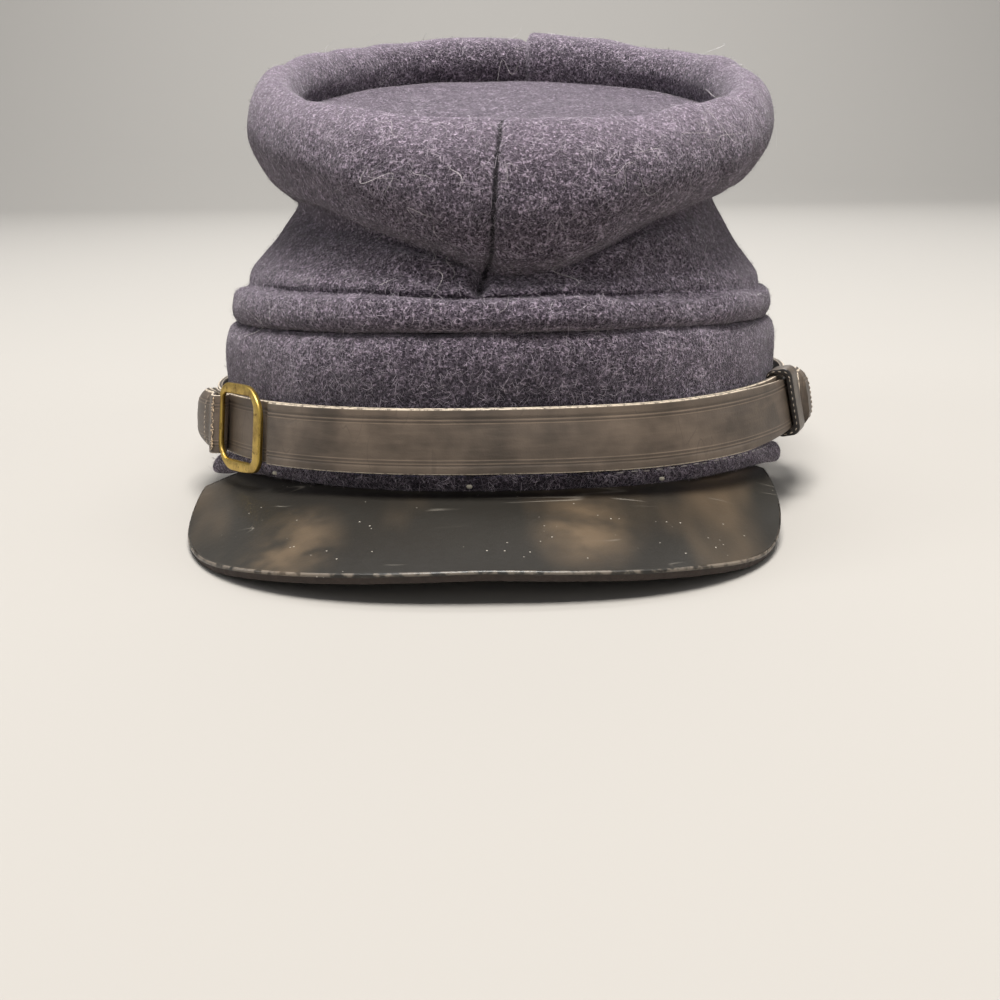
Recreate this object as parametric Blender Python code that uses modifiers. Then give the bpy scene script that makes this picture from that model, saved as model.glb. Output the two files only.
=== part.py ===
"""A kepi cap of soft wool with a leather peak and a two-part chin strap.

The cap is modelled with its rim level, z = 0 at the bottom of the band and the peak towards -Y.
One empty then lays the whole cap on its peak's corners and the back of its band, as it lies on a table.
"""

import bmesh
import bpy
import numpy as np
from mathutils import Matrix, Vector

# Cloth band round the head
BAND_HALF_WIDTH = 0.0835
BAND_HALF_DEPTH = 0.0980
BAND_HEIGHT = 0.0378
BAND_WALL = 0.0028
BAND_SQUARENESS = 2.3

# Soft crown above the band
CROWN_RISE = 0.0918
CROWN_WALL = 0.0024
CROWN_PINCH_POWER = 12
TOP_WALL = 0.0024
TOP_DOME = 0.0012

# Leather peak
PEAK_HALF_WIDTH = 0.0785
PEAK_REACH = 0.0755
PEAK_ROOT = 0.0620
PEAK_DROP = 0.0145
PEAK_WALL = 0.0024
PEAK_SQUARENESS = 2.6
PEAK_TUCK = 0.0022
PEAK_SHIFT = -0.0063
PEAK_SKEW = 0.020
PEAK_ROOT_TURN = np.radians(-1.4)
PEAK_SPREAD = np.radians(56)
PEAK_BOW = 0.07

# Chin strap
STRAP_WIDTH = 0.0159
STRAP_WALL = 0.0015
STRAP_LEVEL = 0.0123
STRAP_LEAN = 0.005
STRAP_LIFT = 0.0028
STRAP_LIFT_FROM = 0.030
STRAP_LIFT_OVER = 0.055
STRAP_EDGE = 0.00025
UNDER_REACH = 0.1540
OVER_START = 0.0635
OVER_TAPER = 0.16
OVER_TAPER_FROM = 0.062
OVER_TAPER_OVER = 0.030
TAB_REACH = 0.1240
TAB_TIP = 0.0085

# Buckle and the leather folded round its bar
BUCKLE_WIDTH = 0.0232
BUCKLE_HEIGHT = 0.0235
BUCKLE_WALL = 0.0014
BUCKLE_OPENING = 0.0176
BUCKLE_OUTER_BAR = 0.0040
BUCKLE_LOOP_BAR = 0.0014
BUCKLE_CORNER = 0.0042
BUCKLE_INNER_CORNER = 0.0016
BUCKLE_BAR_AT = 0.0868
BUCKLE_STAND = 0.0005
BUCKLE_BAR_EASE = 0.0005
FOLD_WALL = 0.0012
FOLD_SLOPE = 0.0080
FOLD_INNER_END = 0.1120

# Keeper loop
KEEPER_AT = 0.0930
KEEPER_WIDTH = 0.0090
KEEPER_WALL = 0.00105
KEEPER_CORNER = 0.0018
KEEPER_EASE = 0.0005
KEEPER_TAB_START = 0.1000

# Side buttons
BUTTON_AT = 0.1475
BUTTON_RADIUS = 0.0055
BUTTON_DOME = 0.0028
BUTTON_SHANK = 0.0015
BUTTON_SIDES = 16

# Fits
GAP = 0.0003
SHANK_EASE = 0.0003

# How the cloth settles on a table
REST_FROM = 0.050
REST_BLEND = 0.070

# Button holes are cut by a pin this many strap walls long
HOLE_REACH = 8

# Fineness of the faceted solids
ROUND_STEPS = 42
FRONT_CROWDING = 0.35
ROWS_PER_SECTION = 2
PEAK_COLUMNS = 33
PEAK_ROWS = 7
PEAK_CROWDING = 1.25
STRAP_COLUMNS = 44
TIP_ROUNDNESS = 0.96
COURSE_STEPS = 2881
BAR_TRIES = 400

# The crown's sections, bottom to top. Half width is a share of BAND_HALF_WIDTH, reach to the front and
# back a share of BAND_HALF_DEPTH, and each height a share of CROWN_RISE above the band. Pinch is how much
# of the front's height is taken down at the front seam alone, bend how late the height changes round the
# side, lean the rise per metre towards +X, shift the sideways place as a share of BAND_HALF_WIDTH, and
# square the squareness of the outline.
CROWN_SECTIONS = (
    # name           width  front  back   z_front z_side z_back  pinch bend  lean    shift  square
    ("seam",         0.952, 0.962, 0.969, 0.000,  0.000, 0.000,  0.00, 1.00,  0.000, 0.000, 2.30),
    ("fold_low",     0.992, 0.996, 1.003, 0.020,  0.021, 0.021,  0.00, 1.00, -0.004, 0.002, 2.30),
    ("fold_out",     1.001, 1.004, 1.010, 0.048,  0.050, 0.050,  0.00, 1.00, -0.007, 0.004, 2.30),
    ("fold_high",    0.984, 0.990, 0.998, 0.075,  0.079, 0.080,  0.00, 1.00, -0.010, 0.006, 2.30),
    ("crease",       0.953, 0.961, 0.971, 0.090,  0.097, 0.100,  0.00, 1.00, -0.013, 0.008, 2.28),
    ("body_low",     0.930, 0.949, 0.969, 0.106,  0.136, 0.165,  0.15, 1.20, -0.010, 0.010, 2.26),
    ("body_middle",  0.875, 0.920, 0.949, 0.119,  0.200, 0.274,  0.30, 1.50, -0.004, 0.015, 2.24),
    ("body_high",    0.797, 0.896, 0.898, 0.128,  0.295, 0.427,  0.40, 1.70,  0.006, 0.020, 2.20),
    ("neck",         0.748, 0.878, 0.832, 0.138,  0.375, 0.569,  0.45, 1.80,  0.012, 0.026, 2.18),
    ("rim_under",    0.774, 0.908, 0.801, 0.152,  0.404, 0.634,  0.45, 1.80,  0.010, 0.030, 2.15),
    ("rim_swell",    0.850, 0.969, 0.781, 0.190,  0.462, 0.700,  0.38, 1.60,  0.000, 0.036, 2.12),
    ("rim_side",     0.912, 1.016, 0.750, 0.310,  0.583, 0.820,  0.20, 1.30, -0.006, 0.042, 2.10),
    ("rim_shoulder", 0.893, 1.006, 0.689, 0.449,  0.705, 0.939,  0.08, 1.10, -0.008, 0.045, 2.08),
    ("crest",        0.832, 0.953, 0.597, 0.542,  0.771, 1.000,  0.00, 1.00, -0.010, 0.046, 2.05),
    ("crest_inner",  0.776, 0.892, 0.526, 0.520,  0.746, 0.972,  0.00, 1.00, -0.010, 0.046, 2.04),
    ("well",         0.745, 0.859, 0.503, 0.460,  0.678, 0.890,  0.00, 1.00, -0.010, 0.046, 2.03),
    ("top_seam",     0.738, 0.851, 0.498, 0.402,  0.606, 0.811,  0.00, 1.00, -0.010, 0.046, 2.02),
)

# The crown's wall is divided at its two creases: the roll over the band, the body, and the rim round the top.
CROWN_PARTS = (
    # node         from     to
    ("crown_roll", "seam",   "crease"),
    ("crown_side", "crease", "neck"),
    ("crown_rim",  "neck",   "top_seam"),
)

# The top disc's rings: share of the way out from its middle, and height as a share of TOP_WALL.
TOP_RINGS = (
    # share lift
    (1.00, 0.0),
    (1.00, 1.0),
    (0.66, 1.0),
    (0.33, 1.0),
)

# The band's sections, hem to top: widths and reaches as above, height as a share of BAND_HEIGHT.
BAND_SECTIONS = (
    # name     width  front  back   height
    ("hem",    0.962, 0.971, 0.971, 0.00),
    ("low",    0.982, 0.987, 0.990, 0.12),
    ("middle", 0.997, 0.998, 1.000, 0.45),
    ("high",   1.000, 1.000, 1.000, 0.80),
    ("turn",   0.987, 0.990, 0.992, 0.95),
    ("seam",   0.956, 0.966, 0.972, 1.00),
)

# How far the peak's edge drops, as a share of PEAK_DROP, from its middle round to its left and right end.
PEAK_EDGE = (
    # way   left   right
    (0.00, 0.770, 0.770),
    (0.35, 0.900, 0.900),
    (0.65, 1.000, 0.980),
    (0.85, 0.840, 0.600),
    (1.00, 0.420, 0.180),
)

# How far the strap's lower edge stands out, as a slope, on the way from the front to each side button.
STRAP_FLARE = (
    # way    slope
    (-1.00,  0.00),
    (-0.93,  0.00),
    (-0.75,  0.08),
    (-0.50,  0.10),
    (0.00,   0.05),
    (0.60,   0.19),
    (0.78,   0.15),
    (0.93,   0.00),
    (1.00,   0.00),
)

# Levels of the strap's layers, out from the band's cloth, inner face of each
KEEPER_BACK = GAP
UNDER_LAYER = KEEPER_BACK + KEEPER_WALL + KEEPER_EASE
OVER_LAYER = UNDER_LAYER + STRAP_WALL + GAP
KEEPER_TAB_LAYER = OVER_LAYER + STRAP_WALL + GAP
FOLD_INNER = OVER_LAYER + FOLD_WALL / 2
BUCKLE_BAR_OUT = OVER_LAYER + FOLD_WALL + BUCKLE_BAR_EASE + BUCKLE_LOOP_BAR / 2
FOLD_RADIUS = BUCKLE_BAR_OUT - FOLD_INNER
FOLD_OUTER = OVER_LAYER + FOLD_WALL + GAP + FOLD_WALL / 2
BUCKLE_FRONT_OUT = OVER_LAYER + BUCKLE_WALL / 2 + BUCKLE_STAND


def clear_scene():
    """Remove every object that the file starts with."""
    for thing in list(bpy.data.objects):
        bpy.data.objects.remove(thing, do_unlink=True)


def new_collection(name):
    group = bpy.data.collections.new(name)
    bpy.context.scene.collection.children.link(group)
    return group


def finish(name, colour, roughness, metallic=0.0):
    """A Principled material of one colour."""
    stuff = bpy.data.materials.new(name)
    stuff.use_nodes = True
    shader = stuff.node_tree.nodes["Principled BSDF"]
    shader.inputs["Base Color"].default_value = (*colour, 1.0)
    shader.inputs["Roughness"].default_value = roughness
    shader.inputs["Metallic"].default_value = metallic
    return stuff


def add_object(name, data, group, stuff):
    thing = bpy.data.objects.new(name, data)
    group.objects.link(thing)
    if stuff is not None:
        thing.data.materials.append(stuff)
    return thing


def signed_power(value, power):
    return np.sign(value) * np.abs(value) ** power


def outline(width, front, back, square, angle):
    """Plan of one section: a superellipse from front to back, angle 0 at the front and +90 at +X."""
    middle = (back - front) / 2
    depth = (back + front) / 2
    x = width * signed_power(np.sin(angle), 2 / square)
    y = middle - depth * signed_power(np.cos(angle), 2 / square)
    return x, y


def round_angles():
    """Angles of the sections' corners, closer together at the front where the folds are."""
    even = np.linspace(0, 2 * np.pi, ROUND_STEPS, endpoint=False)
    return even - FRONT_CROWDING * np.sin(even)


def smooth_rows(table, parts):
    """Rows between the given ones, on a Catmull-Rom curve through each column."""
    padded = np.vstack([2 * table[0] - table[1], table, 2 * table[-1] - table[-2]])
    rows = []
    for index in range(len(table) - 1):
        before, start, end, after = padded[index:index + 4]
        for part in range(parts):
            t = part / parts
            rows.append(0.5 * (2 * start + (end - before) * t
                               + (2 * before - 5 * start + 4 * end - after) * t ** 2
                               + (3 * start - before - 3 * end + after) * t ** 3))
    rows.append(table[-1])
    return np.array(rows)


def crown_ring(row, angle, joins):
    """One section of the crown as points, with as many gaps below it as there are joins down to the band."""
    width, front, back, z_front, z_side, z_back, pinch, bend, lean, shift, square = row
    x, y = outline(width * BAND_HALF_WIDTH, front * BAND_HALF_DEPTH, back * BAND_HALF_DEPTH, square, angle)
    forward = np.clip(np.cos(angle), 0, 1)
    backward = np.clip(-np.cos(angle), 0, 1)
    front_share = (1 - pinch) * forward ** bend + pinch * forward ** CROWN_PINCH_POWER
    height = z_side + (z_front - z_side) * front_share + (z_back - z_side) * backward ** bend
    x = x + shift * BAND_HALF_WIDTH
    return np.stack([x, y, BAND_HEIGHT + joins * GAP + height * CROWN_RISE + lean * x], axis=-1)


def grid_mesh(name, points, close_around, close_along):
    """A mesh of quads through a grid of points, rows by columns, joined end to end where asked."""
    rows, columns = points.shape[:2]
    mesh = bpy.data.meshes.new(name)
    faces = []
    for row in range(rows if close_along else rows - 1):
        above = (row + 1) % rows
        for column in range(columns if close_around else columns - 1):
            beside = (column + 1) % columns
            faces.append((row * columns + column, row * columns + beside,
                          above * columns + beside, above * columns + column))
    mesh.from_pydata(points.reshape(-1, 3).tolist(), [], faces)
    mesh.update()
    return mesh


def smooth_shade(mesh, sharp=40):
    mesh.shade_smooth()
    mesh.set_sharp_from_angle(angle=np.radians(sharp))


def add_solidify(thing, thickness, offset):
    wall = thing.modifiers.new("wall", "SOLIDIFY")
    wall.thickness = thickness
    wall.offset = offset
    return wall


def add_bevel(thing, width):
    edge = thing.modifiers.new("edges", "BEVEL")
    edge.width = width
    edge.segments = 1
    edge.limit_method = "ANGLE"
    edge.angle_limit = np.radians(50)
    return edge


def make_crown_walls(group, stuff):
    """The crown's soft wall, lofted bottom to top in three parts, with the cloth's thickness inwards."""
    names = [row[0] for row in CROWN_SECTIONS]
    rows = smooth_rows(np.array([row[1:] for row in CROWN_SECTIONS]), ROWS_PER_SECTION)
    angle = round_angles()
    for joins, (name, first, last) in enumerate(CROWN_PARTS, start=1):
        start, end = (names.index(section) * ROWS_PER_SECTION for section in (first, last))
        points = np.array([crown_ring(row, angle, joins) for row in rows[start:end + 1]])
        mesh = grid_mesh(name, points, True, False)
        smooth_shade(mesh, 60)
        add_solidify(add_object(name, mesh, group, stuff), CROWN_WALL, -1)


def make_crown_top(group, stuff):
    """The top disc, lofted inside the crown's last section from its rim to a slightly domed middle."""
    seam = crown_ring(np.array(CROWN_SECTIONS[-1][1:]), round_angles(), len(CROWN_PARTS))
    centre = (seam.min(axis=0) + seam.max(axis=0)) / 2
    reach = np.linalg.norm(seam - centre, axis=1).min()
    rings = []
    for share, lift in TOP_RINGS:
        ring = centre + (seam - centre) * (share - GAP / reach)
        ring[:, 2] += GAP + TOP_WALL * lift + TOP_DOME * (1 - share ** 2)
        rings.append(ring)
    thing = add_object("crown_top", grid_mesh("crown_top", np.array(rings), True, False), group, stuff)
    close_ends(thing.data)
    smooth_shade(thing.data)
    return thing


def close_ends(mesh):
    """Close each open end of a lofted mesh with one fan of triangles round its middle."""
    work = bmesh.new()
    work.from_mesh(mesh)
    ends = [edge for edge in work.edges if edge.is_boundary]
    closed = bmesh.ops.contextual_create(work, geom=ends)
    faces = bmesh.ops.holes_fill(work, edges=[edge for edge in work.edges if edge.is_boundary])["faces"]
    bmesh.ops.poke(work, faces=list(closed["faces"]) + list(faces))
    bmesh.ops.recalc_face_normals(work, faces=work.faces)
    work.to_mesh(mesh)
    work.free()


def peak_surface(lower):
    """The peak's upper face as a grid, and its lower face where lower is true."""
    way = np.linspace(-1, 1, PEAK_COLUMNS)
    turn = signed_power(way, PEAK_CROWDING)
    root_x, root_y = outline(BAND_SECTIONS[0][1] * BAND_HALF_WIDTH - PEAK_TUCK,
                             BAND_SECTIONS[0][2] * BAND_HALF_DEPTH - PEAK_TUCK,
                             BAND_SECTIONS[0][3] * BAND_HALF_DEPTH - PEAK_TUCK,
                             BAND_SQUARENESS, turn * PEAK_SPREAD + PEAK_ROOT_TURN)
    edge_x, edge_y = outline(PEAK_HALF_WIDTH, PEAK_REACH, PEAK_REACH, PEAK_SQUARENESS, turn * np.pi / 2)
    edge_y = edge_y - PEAK_ROOT - PEAK_SKEW * edge_x
    edge_x = edge_x + PEAK_SHIFT
    fine = smooth_rows(np.array(PEAK_EDGE), 8)
    left, right = (np.interp(np.abs(turn), fine[:, 0], fine[:, column]) for column in (1, 2))
    drop = np.where(turn < 0, left, right) * PEAK_DROP
    out = np.linspace(0, 1, PEAK_ROWS)[:, None]
    x = root_x + (edge_x - root_x) * out
    y = root_y + (edge_y - root_y) * out
    z = -GAP - (drop - GAP) * (out - PEAK_BOW * np.sin(np.pi * out))
    points = np.stack([x, y, z], axis=-1)
    if lower:
        across = np.gradient(points, axis=1)
        outward = np.gradient(points, axis=0)
        normal = np.cross(outward, across)
        normal /= np.linalg.norm(normal, axis=-1, keepdims=True)
        normal *= np.sign(normal[..., 2:])
        points = points - PEAK_WALL * normal
    return points


def make_peak(group, stuff):
    """The peak: an upper and a lower face of leather, joined round their border."""
    upper = peak_surface(False)
    lower = peak_surface(True)
    rows, columns = upper.shape[:2]
    loops = np.concatenate([upper, lower[::-1]])
    mesh = grid_mesh("peak", loops, False, True)
    thing = add_object("peak", mesh, group, stuff)
    close_sides(thing.data, rows, columns)
    smooth_shade(thing.data)
    add_bevel(thing, PEAK_WALL / 5)
    return thing


def close_sides(mesh, rows, columns):
    """Close the two ends of a folded grid, whose rows go out on one face and back on the other."""
    work = bmesh.new()
    work.from_mesh(mesh)
    work.verts.ensure_lookup_table()
    for column in (0, columns - 1):
        for row in range(rows - 1):
            back = 2 * rows - 1 - row
            corners = (row, row + 1, back - 1, back)
            work.faces.new([work.verts[corner * columns + column] for corner in corners])
    bmesh.ops.recalc_face_normals(work, faces=work.faces)
    work.to_mesh(mesh)
    work.free()


def rest_tilt():
    """How far the nose lifts when the peak's corners and the back of the hem lie on one table."""
    lower = peak_surface(True)
    return np.arctan2(-lower[..., 2], hem_back() - lower[..., 1]).max()


def hem_back():
    """Where the hem's outer edge is furthest back."""
    return BAND_SECTIONS[0][3] * BAND_HALF_DEPTH


def hem_height(y):
    """Height of the hem: on the table at the back, and blending to the level rim further forward."""
    share = np.clip((y - REST_FROM + REST_BLEND) / REST_BLEND, 0, 1)
    share = share * share * (3 - 2 * share)
    return -(hem_back() - y) * np.tan(rest_tilt()) * share


def make_band(group, stuff):
    """The band: its outer sections from hem to seam and back down inside, as one closed ring."""
    angle = round_angles()
    rings = []
    for inset, sections in ((0, BAND_SECTIONS), (BAND_WALL, BAND_SECTIONS[::-1])):
        for _, width, front, back, height in sections:
            x, y = outline(width * BAND_HALF_WIDTH - inset, front * BAND_HALF_DEPTH - inset,
                           back * BAND_HALF_DEPTH - inset, BAND_SQUARENESS, angle)
            z = height * BAND_HEIGHT + hem_height(y) * (1 - height) ** 2
            rings.append(np.stack([x, y, z], axis=-1))
    mesh = grid_mesh("band", np.array(rings), True, True)
    smooth_shade(mesh, 50)
    return add_object("band", mesh, group, stuff)


def band_course():
    """The band's outline as closely spaced points, with their distance from the front's middle."""
    angle = np.linspace(-np.pi, np.pi, COURSE_STEPS)
    x, y = outline(BAND_HALF_WIDTH, BAND_HALF_DEPTH, BAND_HALF_DEPTH, BAND_SQUARENESS, angle)
    points = np.stack([x, y], axis=-1)
    steps = np.linalg.norm(np.diff(points, axis=0), axis=1)
    distance = np.concatenate([[0], np.cumsum(steps)])
    distance -= distance[len(distance) // 2]
    along = np.gradient(points, axis=0)
    along /= np.linalg.norm(along, axis=1, keepdims=True)
    outward = np.stack([along[:, 1], -along[:, 0]], axis=-1)
    return distance, points, outward


def on_band(distance, out):
    """Plan points at a distance along the band from the front's middle, and a distance out from it."""
    course, points, outward = band_course()
    place = np.stack([np.interp(distance, course, points[:, axis]) for axis in (0, 1)], axis=-1)
    normal = np.stack([np.interp(distance, course, outward[:, axis]) for axis in (0, 1)], axis=-1)
    normal /= np.linalg.norm(normal, axis=-1, keepdims=True)
    return place + normal * np.asarray(out)[..., None], normal


def strap_height(x):
    """Height of the strap's middle: nearly level, and lifted where it goes to the keeper's side."""
    lift = np.clip((x - STRAP_LIFT_FROM) / STRAP_LIFT_OVER, 0, 1)
    return STRAP_LEVEL + STRAP_LEAN * x + STRAP_LIFT * lift ** 2


def strap_flare(distance):
    way, slope = np.array(STRAP_FLARE).T
    return np.interp(distance / BUTTON_AT, way, slope)


def on_strap(distance, out, height):
    """Point of the strap: along and out from the band at its top edge, and at a height from its middle."""
    lean = strap_flare(distance) * (STRAP_WIDTH / 2 - height)
    place, _ = on_band(distance, out + lean)
    return np.column_stack([place, strap_height(place[:, 0]) + height])


def strap_axes(distance, out):
    """Place on the strap's middle line, and its directions along, up across the face, and outwards."""
    ends = on_strap(distance + np.array([-1, 0, 1]) * GAP, np.full(3, out), np.zeros(3))
    edges = on_strap(np.full(2, distance), np.full(2, out), np.array([-1, 1]) * STRAP_WIDTH / 2)
    along = Vector(ends[2] - ends[0]).normalized()
    outward = along.cross(Vector(edges[1] - edges[0])).normalized()
    return ends[1], along, outward.cross(along), outward


def axes_matrix(across, up, through, origin):
    """A place in the world whose X, Y and Z axes run along three directions."""
    turn = Matrix((across, up, through)).transposed().to_4x4()
    turn.translation = origin
    return turn


def rounded_half_height(distance, tip, turn):
    """Half the strap's height along it, narrowing to a rounded end over the length turn before tip."""
    into = np.clip((np.abs(distance) - (tip - turn)) / turn, 0, TIP_ROUNDNESS)
    return STRAP_WIDTH / 2 * np.sqrt(1 - into ** 2)


def make_strip(name, path, half_height, thickness, group, stuff):
    """A leather strip on edge along a path of (distance along the band, distance out) to its middle."""
    rows = [on_strap(path[:, 0], path[:, 1], side * half_height) for side in (-1, 1)]
    mesh = grid_mesh(name, np.array(rows), False, False)
    smooth_shade(mesh)
    thing = add_object(name, mesh, group, stuff)
    add_solidify(thing, thickness, 0)
    add_bevel(thing, STRAP_EDGE)
    return thing


def with_tip(start, tip, columns):
    """Distances from start to tip, crowding towards a rounded tip of length TAB_TIP."""
    direction = np.sign(tip - start)
    turn = TAB_TIP * np.cos(np.linspace(np.pi / 2, 0, 7)[1:])
    body = np.linspace(start, tip - direction * TAB_TIP, columns)
    return np.concatenate([body, tip - direction * (TAB_TIP - turn)])


def make_strap_under(group, cutters, stuff):
    """The long strap, close to the band, from one side button round the front to the other."""
    right = with_tip(0, UNDER_REACH, STRAP_COLUMNS // 2)
    distance = np.concatenate([-right[:0:-1], right])
    path = np.column_stack([distance, np.full(len(distance), UNDER_LAYER + STRAP_WALL / 2)])
    half_height = rounded_half_height(distance, UNDER_REACH, TAB_TIP)
    thing = make_strip("strap_under", path, half_height, STRAP_WALL, group, stuff)
    for side in (-1, 1):
        place, normal = on_band(np.array([side * BUTTON_AT]), UNDER_LAYER)
        bpy.ops.mesh.primitive_cylinder_add(vertices=BUTTON_SIDES, radius=BUTTON_SHANK + SHANK_EASE,
                                            depth=HOLE_REACH * STRAP_WALL)
        hole = bpy.context.object
        hole.name = "button_hole_right" if side > 0 else "button_hole_left"
        hole.location = (*place[0], strap_height(place[0, 0]))
        hole.rotation_euler = Vector((*normal[0], 0)).to_track_quat("Z", "Y").to_euler()
        move_to(hole, cutters)
        hole.display_type = "WIRE"
        hole.hide_render = True
        cut = thing.modifiers.new("button_hole", "BOOLEAN")
        cut.operation = "DIFFERENCE"
        cut.solver = "EXACT"
        cut.object = hole
    return thing


def move_to(thing, group):
    for holder in list(thing.users_collection):
        holder.objects.unlink(thing)
    group.objects.link(thing)


def make_strap_over(group, stuff):
    """The strap that starts beside the buckle, crosses the front and ends under the keeper's tab."""
    distance = with_tip(-OVER_START, TAB_REACH - STRAP_WALL, STRAP_COLUMNS * 2 // 3)
    path = np.column_stack([distance, np.full(len(distance), OVER_LAYER + STRAP_WALL / 2)])
    taper = np.clip((distance - OVER_TAPER_FROM) / OVER_TAPER_OVER, 0, 1)
    half_height = rounded_half_height(np.clip(distance, 0, None), TAB_REACH - STRAP_WALL, TAB_TIP)
    half_height = half_height * (1 - OVER_TAPER * taper)
    return make_strip("strap_over", path, half_height, STRAP_WALL, group, stuff)


def make_keeper_tab(group, stuff):
    """The stitched end of leather behind the keeper, over the strap's own end."""
    distance = with_tip(KEEPER_TAB_START, TAB_REACH, 6)
    path = np.column_stack([distance, np.full(len(distance), KEEPER_TAB_LAYER + STRAP_WALL / 2)])
    return make_strip("keeper_tab", path, rounded_half_height(distance, TAB_REACH, TAB_TIP),
                      STRAP_WALL, group, stuff)


def make_buckle_tab(group, stuff):
    """Leather that comes round from the left, turns round the buckle's bar and goes back underneath."""
    outer = -with_tip(BUCKLE_BAR_AT, TAB_REACH, 12)[::-1]
    rise = np.clip((outer + BUCKLE_BAR_AT + FOLD_SLOPE) / FOLD_SLOPE, 0, 1)
    rise = rise * rise * (3 - 2 * rise)
    outer_out = FOLD_OUTER + (BUCKLE_BAR_OUT + FOLD_RADIUS - FOLD_OUTER) * rise
    turn = np.linspace(np.pi / 2, -np.pi / 2, 9)[1:-1]
    nose = -BUCKLE_BAR_AT + FOLD_RADIUS * np.cos(turn)
    nose_out = BUCKLE_BAR_OUT + FOLD_RADIUS * np.sin(turn)
    inner = np.linspace(-BUCKLE_BAR_AT, -FOLD_INNER_END, 7)
    inner_out = np.full(len(inner), FOLD_INNER)
    path = np.column_stack([np.concatenate([outer, nose, inner]),
                            np.concatenate([outer_out, nose_out, inner_out])])
    return make_strip("buckle_tab", path, rounded_half_height(path[:, 0], TAB_REACH, TAB_TIP),
                      FOLD_WALL, group, stuff)


def rounded_rectangle(left, right, bottom, top, corner, steps=4):
    """Corner points of a rectangle with rounded corners, anticlockwise from its right side."""
    points = []
    turns = ((right - corner, top - corner, 0), (left + corner, top - corner, 1),
             (left + corner, bottom + corner, 2), (right - corner, bottom + corner, 3))
    for x, y, quarter in turns:
        for step in range(steps + 1):
            angle = np.pi / 2 * (quarter + step / steps)
            points.append((x + corner * np.cos(angle), y + corner * np.sin(angle)))
    return points


def flat_plate(name, outlines, thickness, chamfer, group, stuff):
    """A flat plate from closed outlines, the second being its opening, with chamfered edges."""
    curve = bpy.data.curves.new(name, "CURVE")
    curve.dimensions = "2D"
    curve.fill_mode = "BOTH"
    curve.extrude = thickness / 2 - chamfer
    curve.bevel_depth = chamfer
    curve.bevel_resolution = 0
    curve.offset = -chamfer
    for points in outlines:
        spline = curve.splines.new("POLY")
        spline.points.add(len(points) - 1)
        for point, (x, y) in zip(spline.points, points):
            point.co = (x, y, 0, 1)
        spline.use_cyclic_u = True
    return add_object(name, curve, group, stuff)


def make_buckle(group, stuff):
    """The brass frame: its thin bar inside the folded leather, its broad bar over the strap."""
    pitch = BUCKLE_WIDTH - BUCKLE_LOOP_BAR / 2 - BUCKLE_OUTER_BAR / 2
    bar, _, up, _ = strap_axes(-BUCKLE_BAR_AT, BUCKLE_BAR_OUT)
    tries = np.linspace(-BUCKLE_BAR_AT, 0, BAR_TRIES)
    fronts = on_strap(tries, np.full(BAR_TRIES, BUCKLE_FRONT_OUT), np.zeros(BAR_TRIES))
    front = fronts[np.argmin(np.abs(np.linalg.norm(fronts - bar, axis=1) - pitch))]
    along = Vector(front - bar).normalized()
    outward = along.cross(up).normalized()
    up = outward.cross(along)
    left = -BUCKLE_LOOP_BAR / 2
    right = left + BUCKLE_WIDTH
    half = BUCKLE_HEIGHT / 2
    frame = rounded_rectangle(left, right, -half, half, BUCKLE_CORNER, 5)
    opening = rounded_rectangle(left + BUCKLE_LOOP_BAR, right - BUCKLE_OUTER_BAR,
                                -BUCKLE_OPENING / 2, BUCKLE_OPENING / 2, BUCKLE_INNER_CORNER, 3)
    thing = flat_plate("buckle", (frame, opening), BUCKLE_WALL, BUCKLE_WALL / 6, group, stuff)
    thing.matrix_world = axes_matrix(along, up, outward, bar)
    return thing


def make_keeper(group, stuff):
    """The leather loop round both straps, a flat ring whose opening is along the strap."""
    place, along, up, outward = strap_axes(KEEPER_AT, 0)
    inside = UNDER_LAYER - KEEPER_EASE
    outside = KEEPER_TAB_LAYER + KEEPER_EASE / 2
    half = STRAP_WIDTH / 2 + KEEPER_EASE
    hole = rounded_rectangle(inside, outside, -half, half, KEEPER_CORNER / 2, 3)
    loop = rounded_rectangle(inside - KEEPER_WALL, outside + KEEPER_WALL,
                             -half - KEEPER_WALL, half + KEEPER_WALL, KEEPER_CORNER, 3)
    thing = flat_plate("keeper", (loop, hole), KEEPER_WIDTH, KEEPER_WALL / 5, group, stuff)
    thing.matrix_world = axes_matrix(outward, up, -along, place)
    return thing


def make_button(name, side, group, stuff):
    """A plain domed button, turned, with a shank through the strap's end to the band."""
    base = OVER_LAYER
    profile = [(0, base + BUTTON_DOME)]
    for step in range(1, 5):
        angle = np.pi / 2 * step / 4
        profile.append((BUTTON_RADIUS * np.sin(angle), base + GAP + (BUTTON_DOME - GAP) * np.cos(angle)))
    profile += [(BUTTON_RADIUS, base), (BUTTON_SHANK, base), (BUTTON_SHANK, GAP), (0, GAP)]
    mesh = bpy.data.meshes.new(name)
    mesh.from_pydata([(x, 0, z) for x, z in profile], [(i, i + 1) for i in range(len(profile) - 1)], [])
    thing = add_object(name, mesh, group, stuff)
    turn = thing.modifiers.new("turned", "SCREW")
    turn.steps = BUTTON_SIDES
    turn.render_steps = BUTTON_SIDES
    turn.use_merge_vertices = True
    turn.merge_threshold = 0.00005
    turn.use_smooth_shade = True
    place, normal = on_band(np.array([side * BUTTON_AT]), 0.0)
    thing.location = (*place[0], strap_height(place[0, 0]))
    thing.rotation_euler = Vector((*normal[0], 0)).to_track_quat("Z", "Y").to_euler()
    return thing


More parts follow.
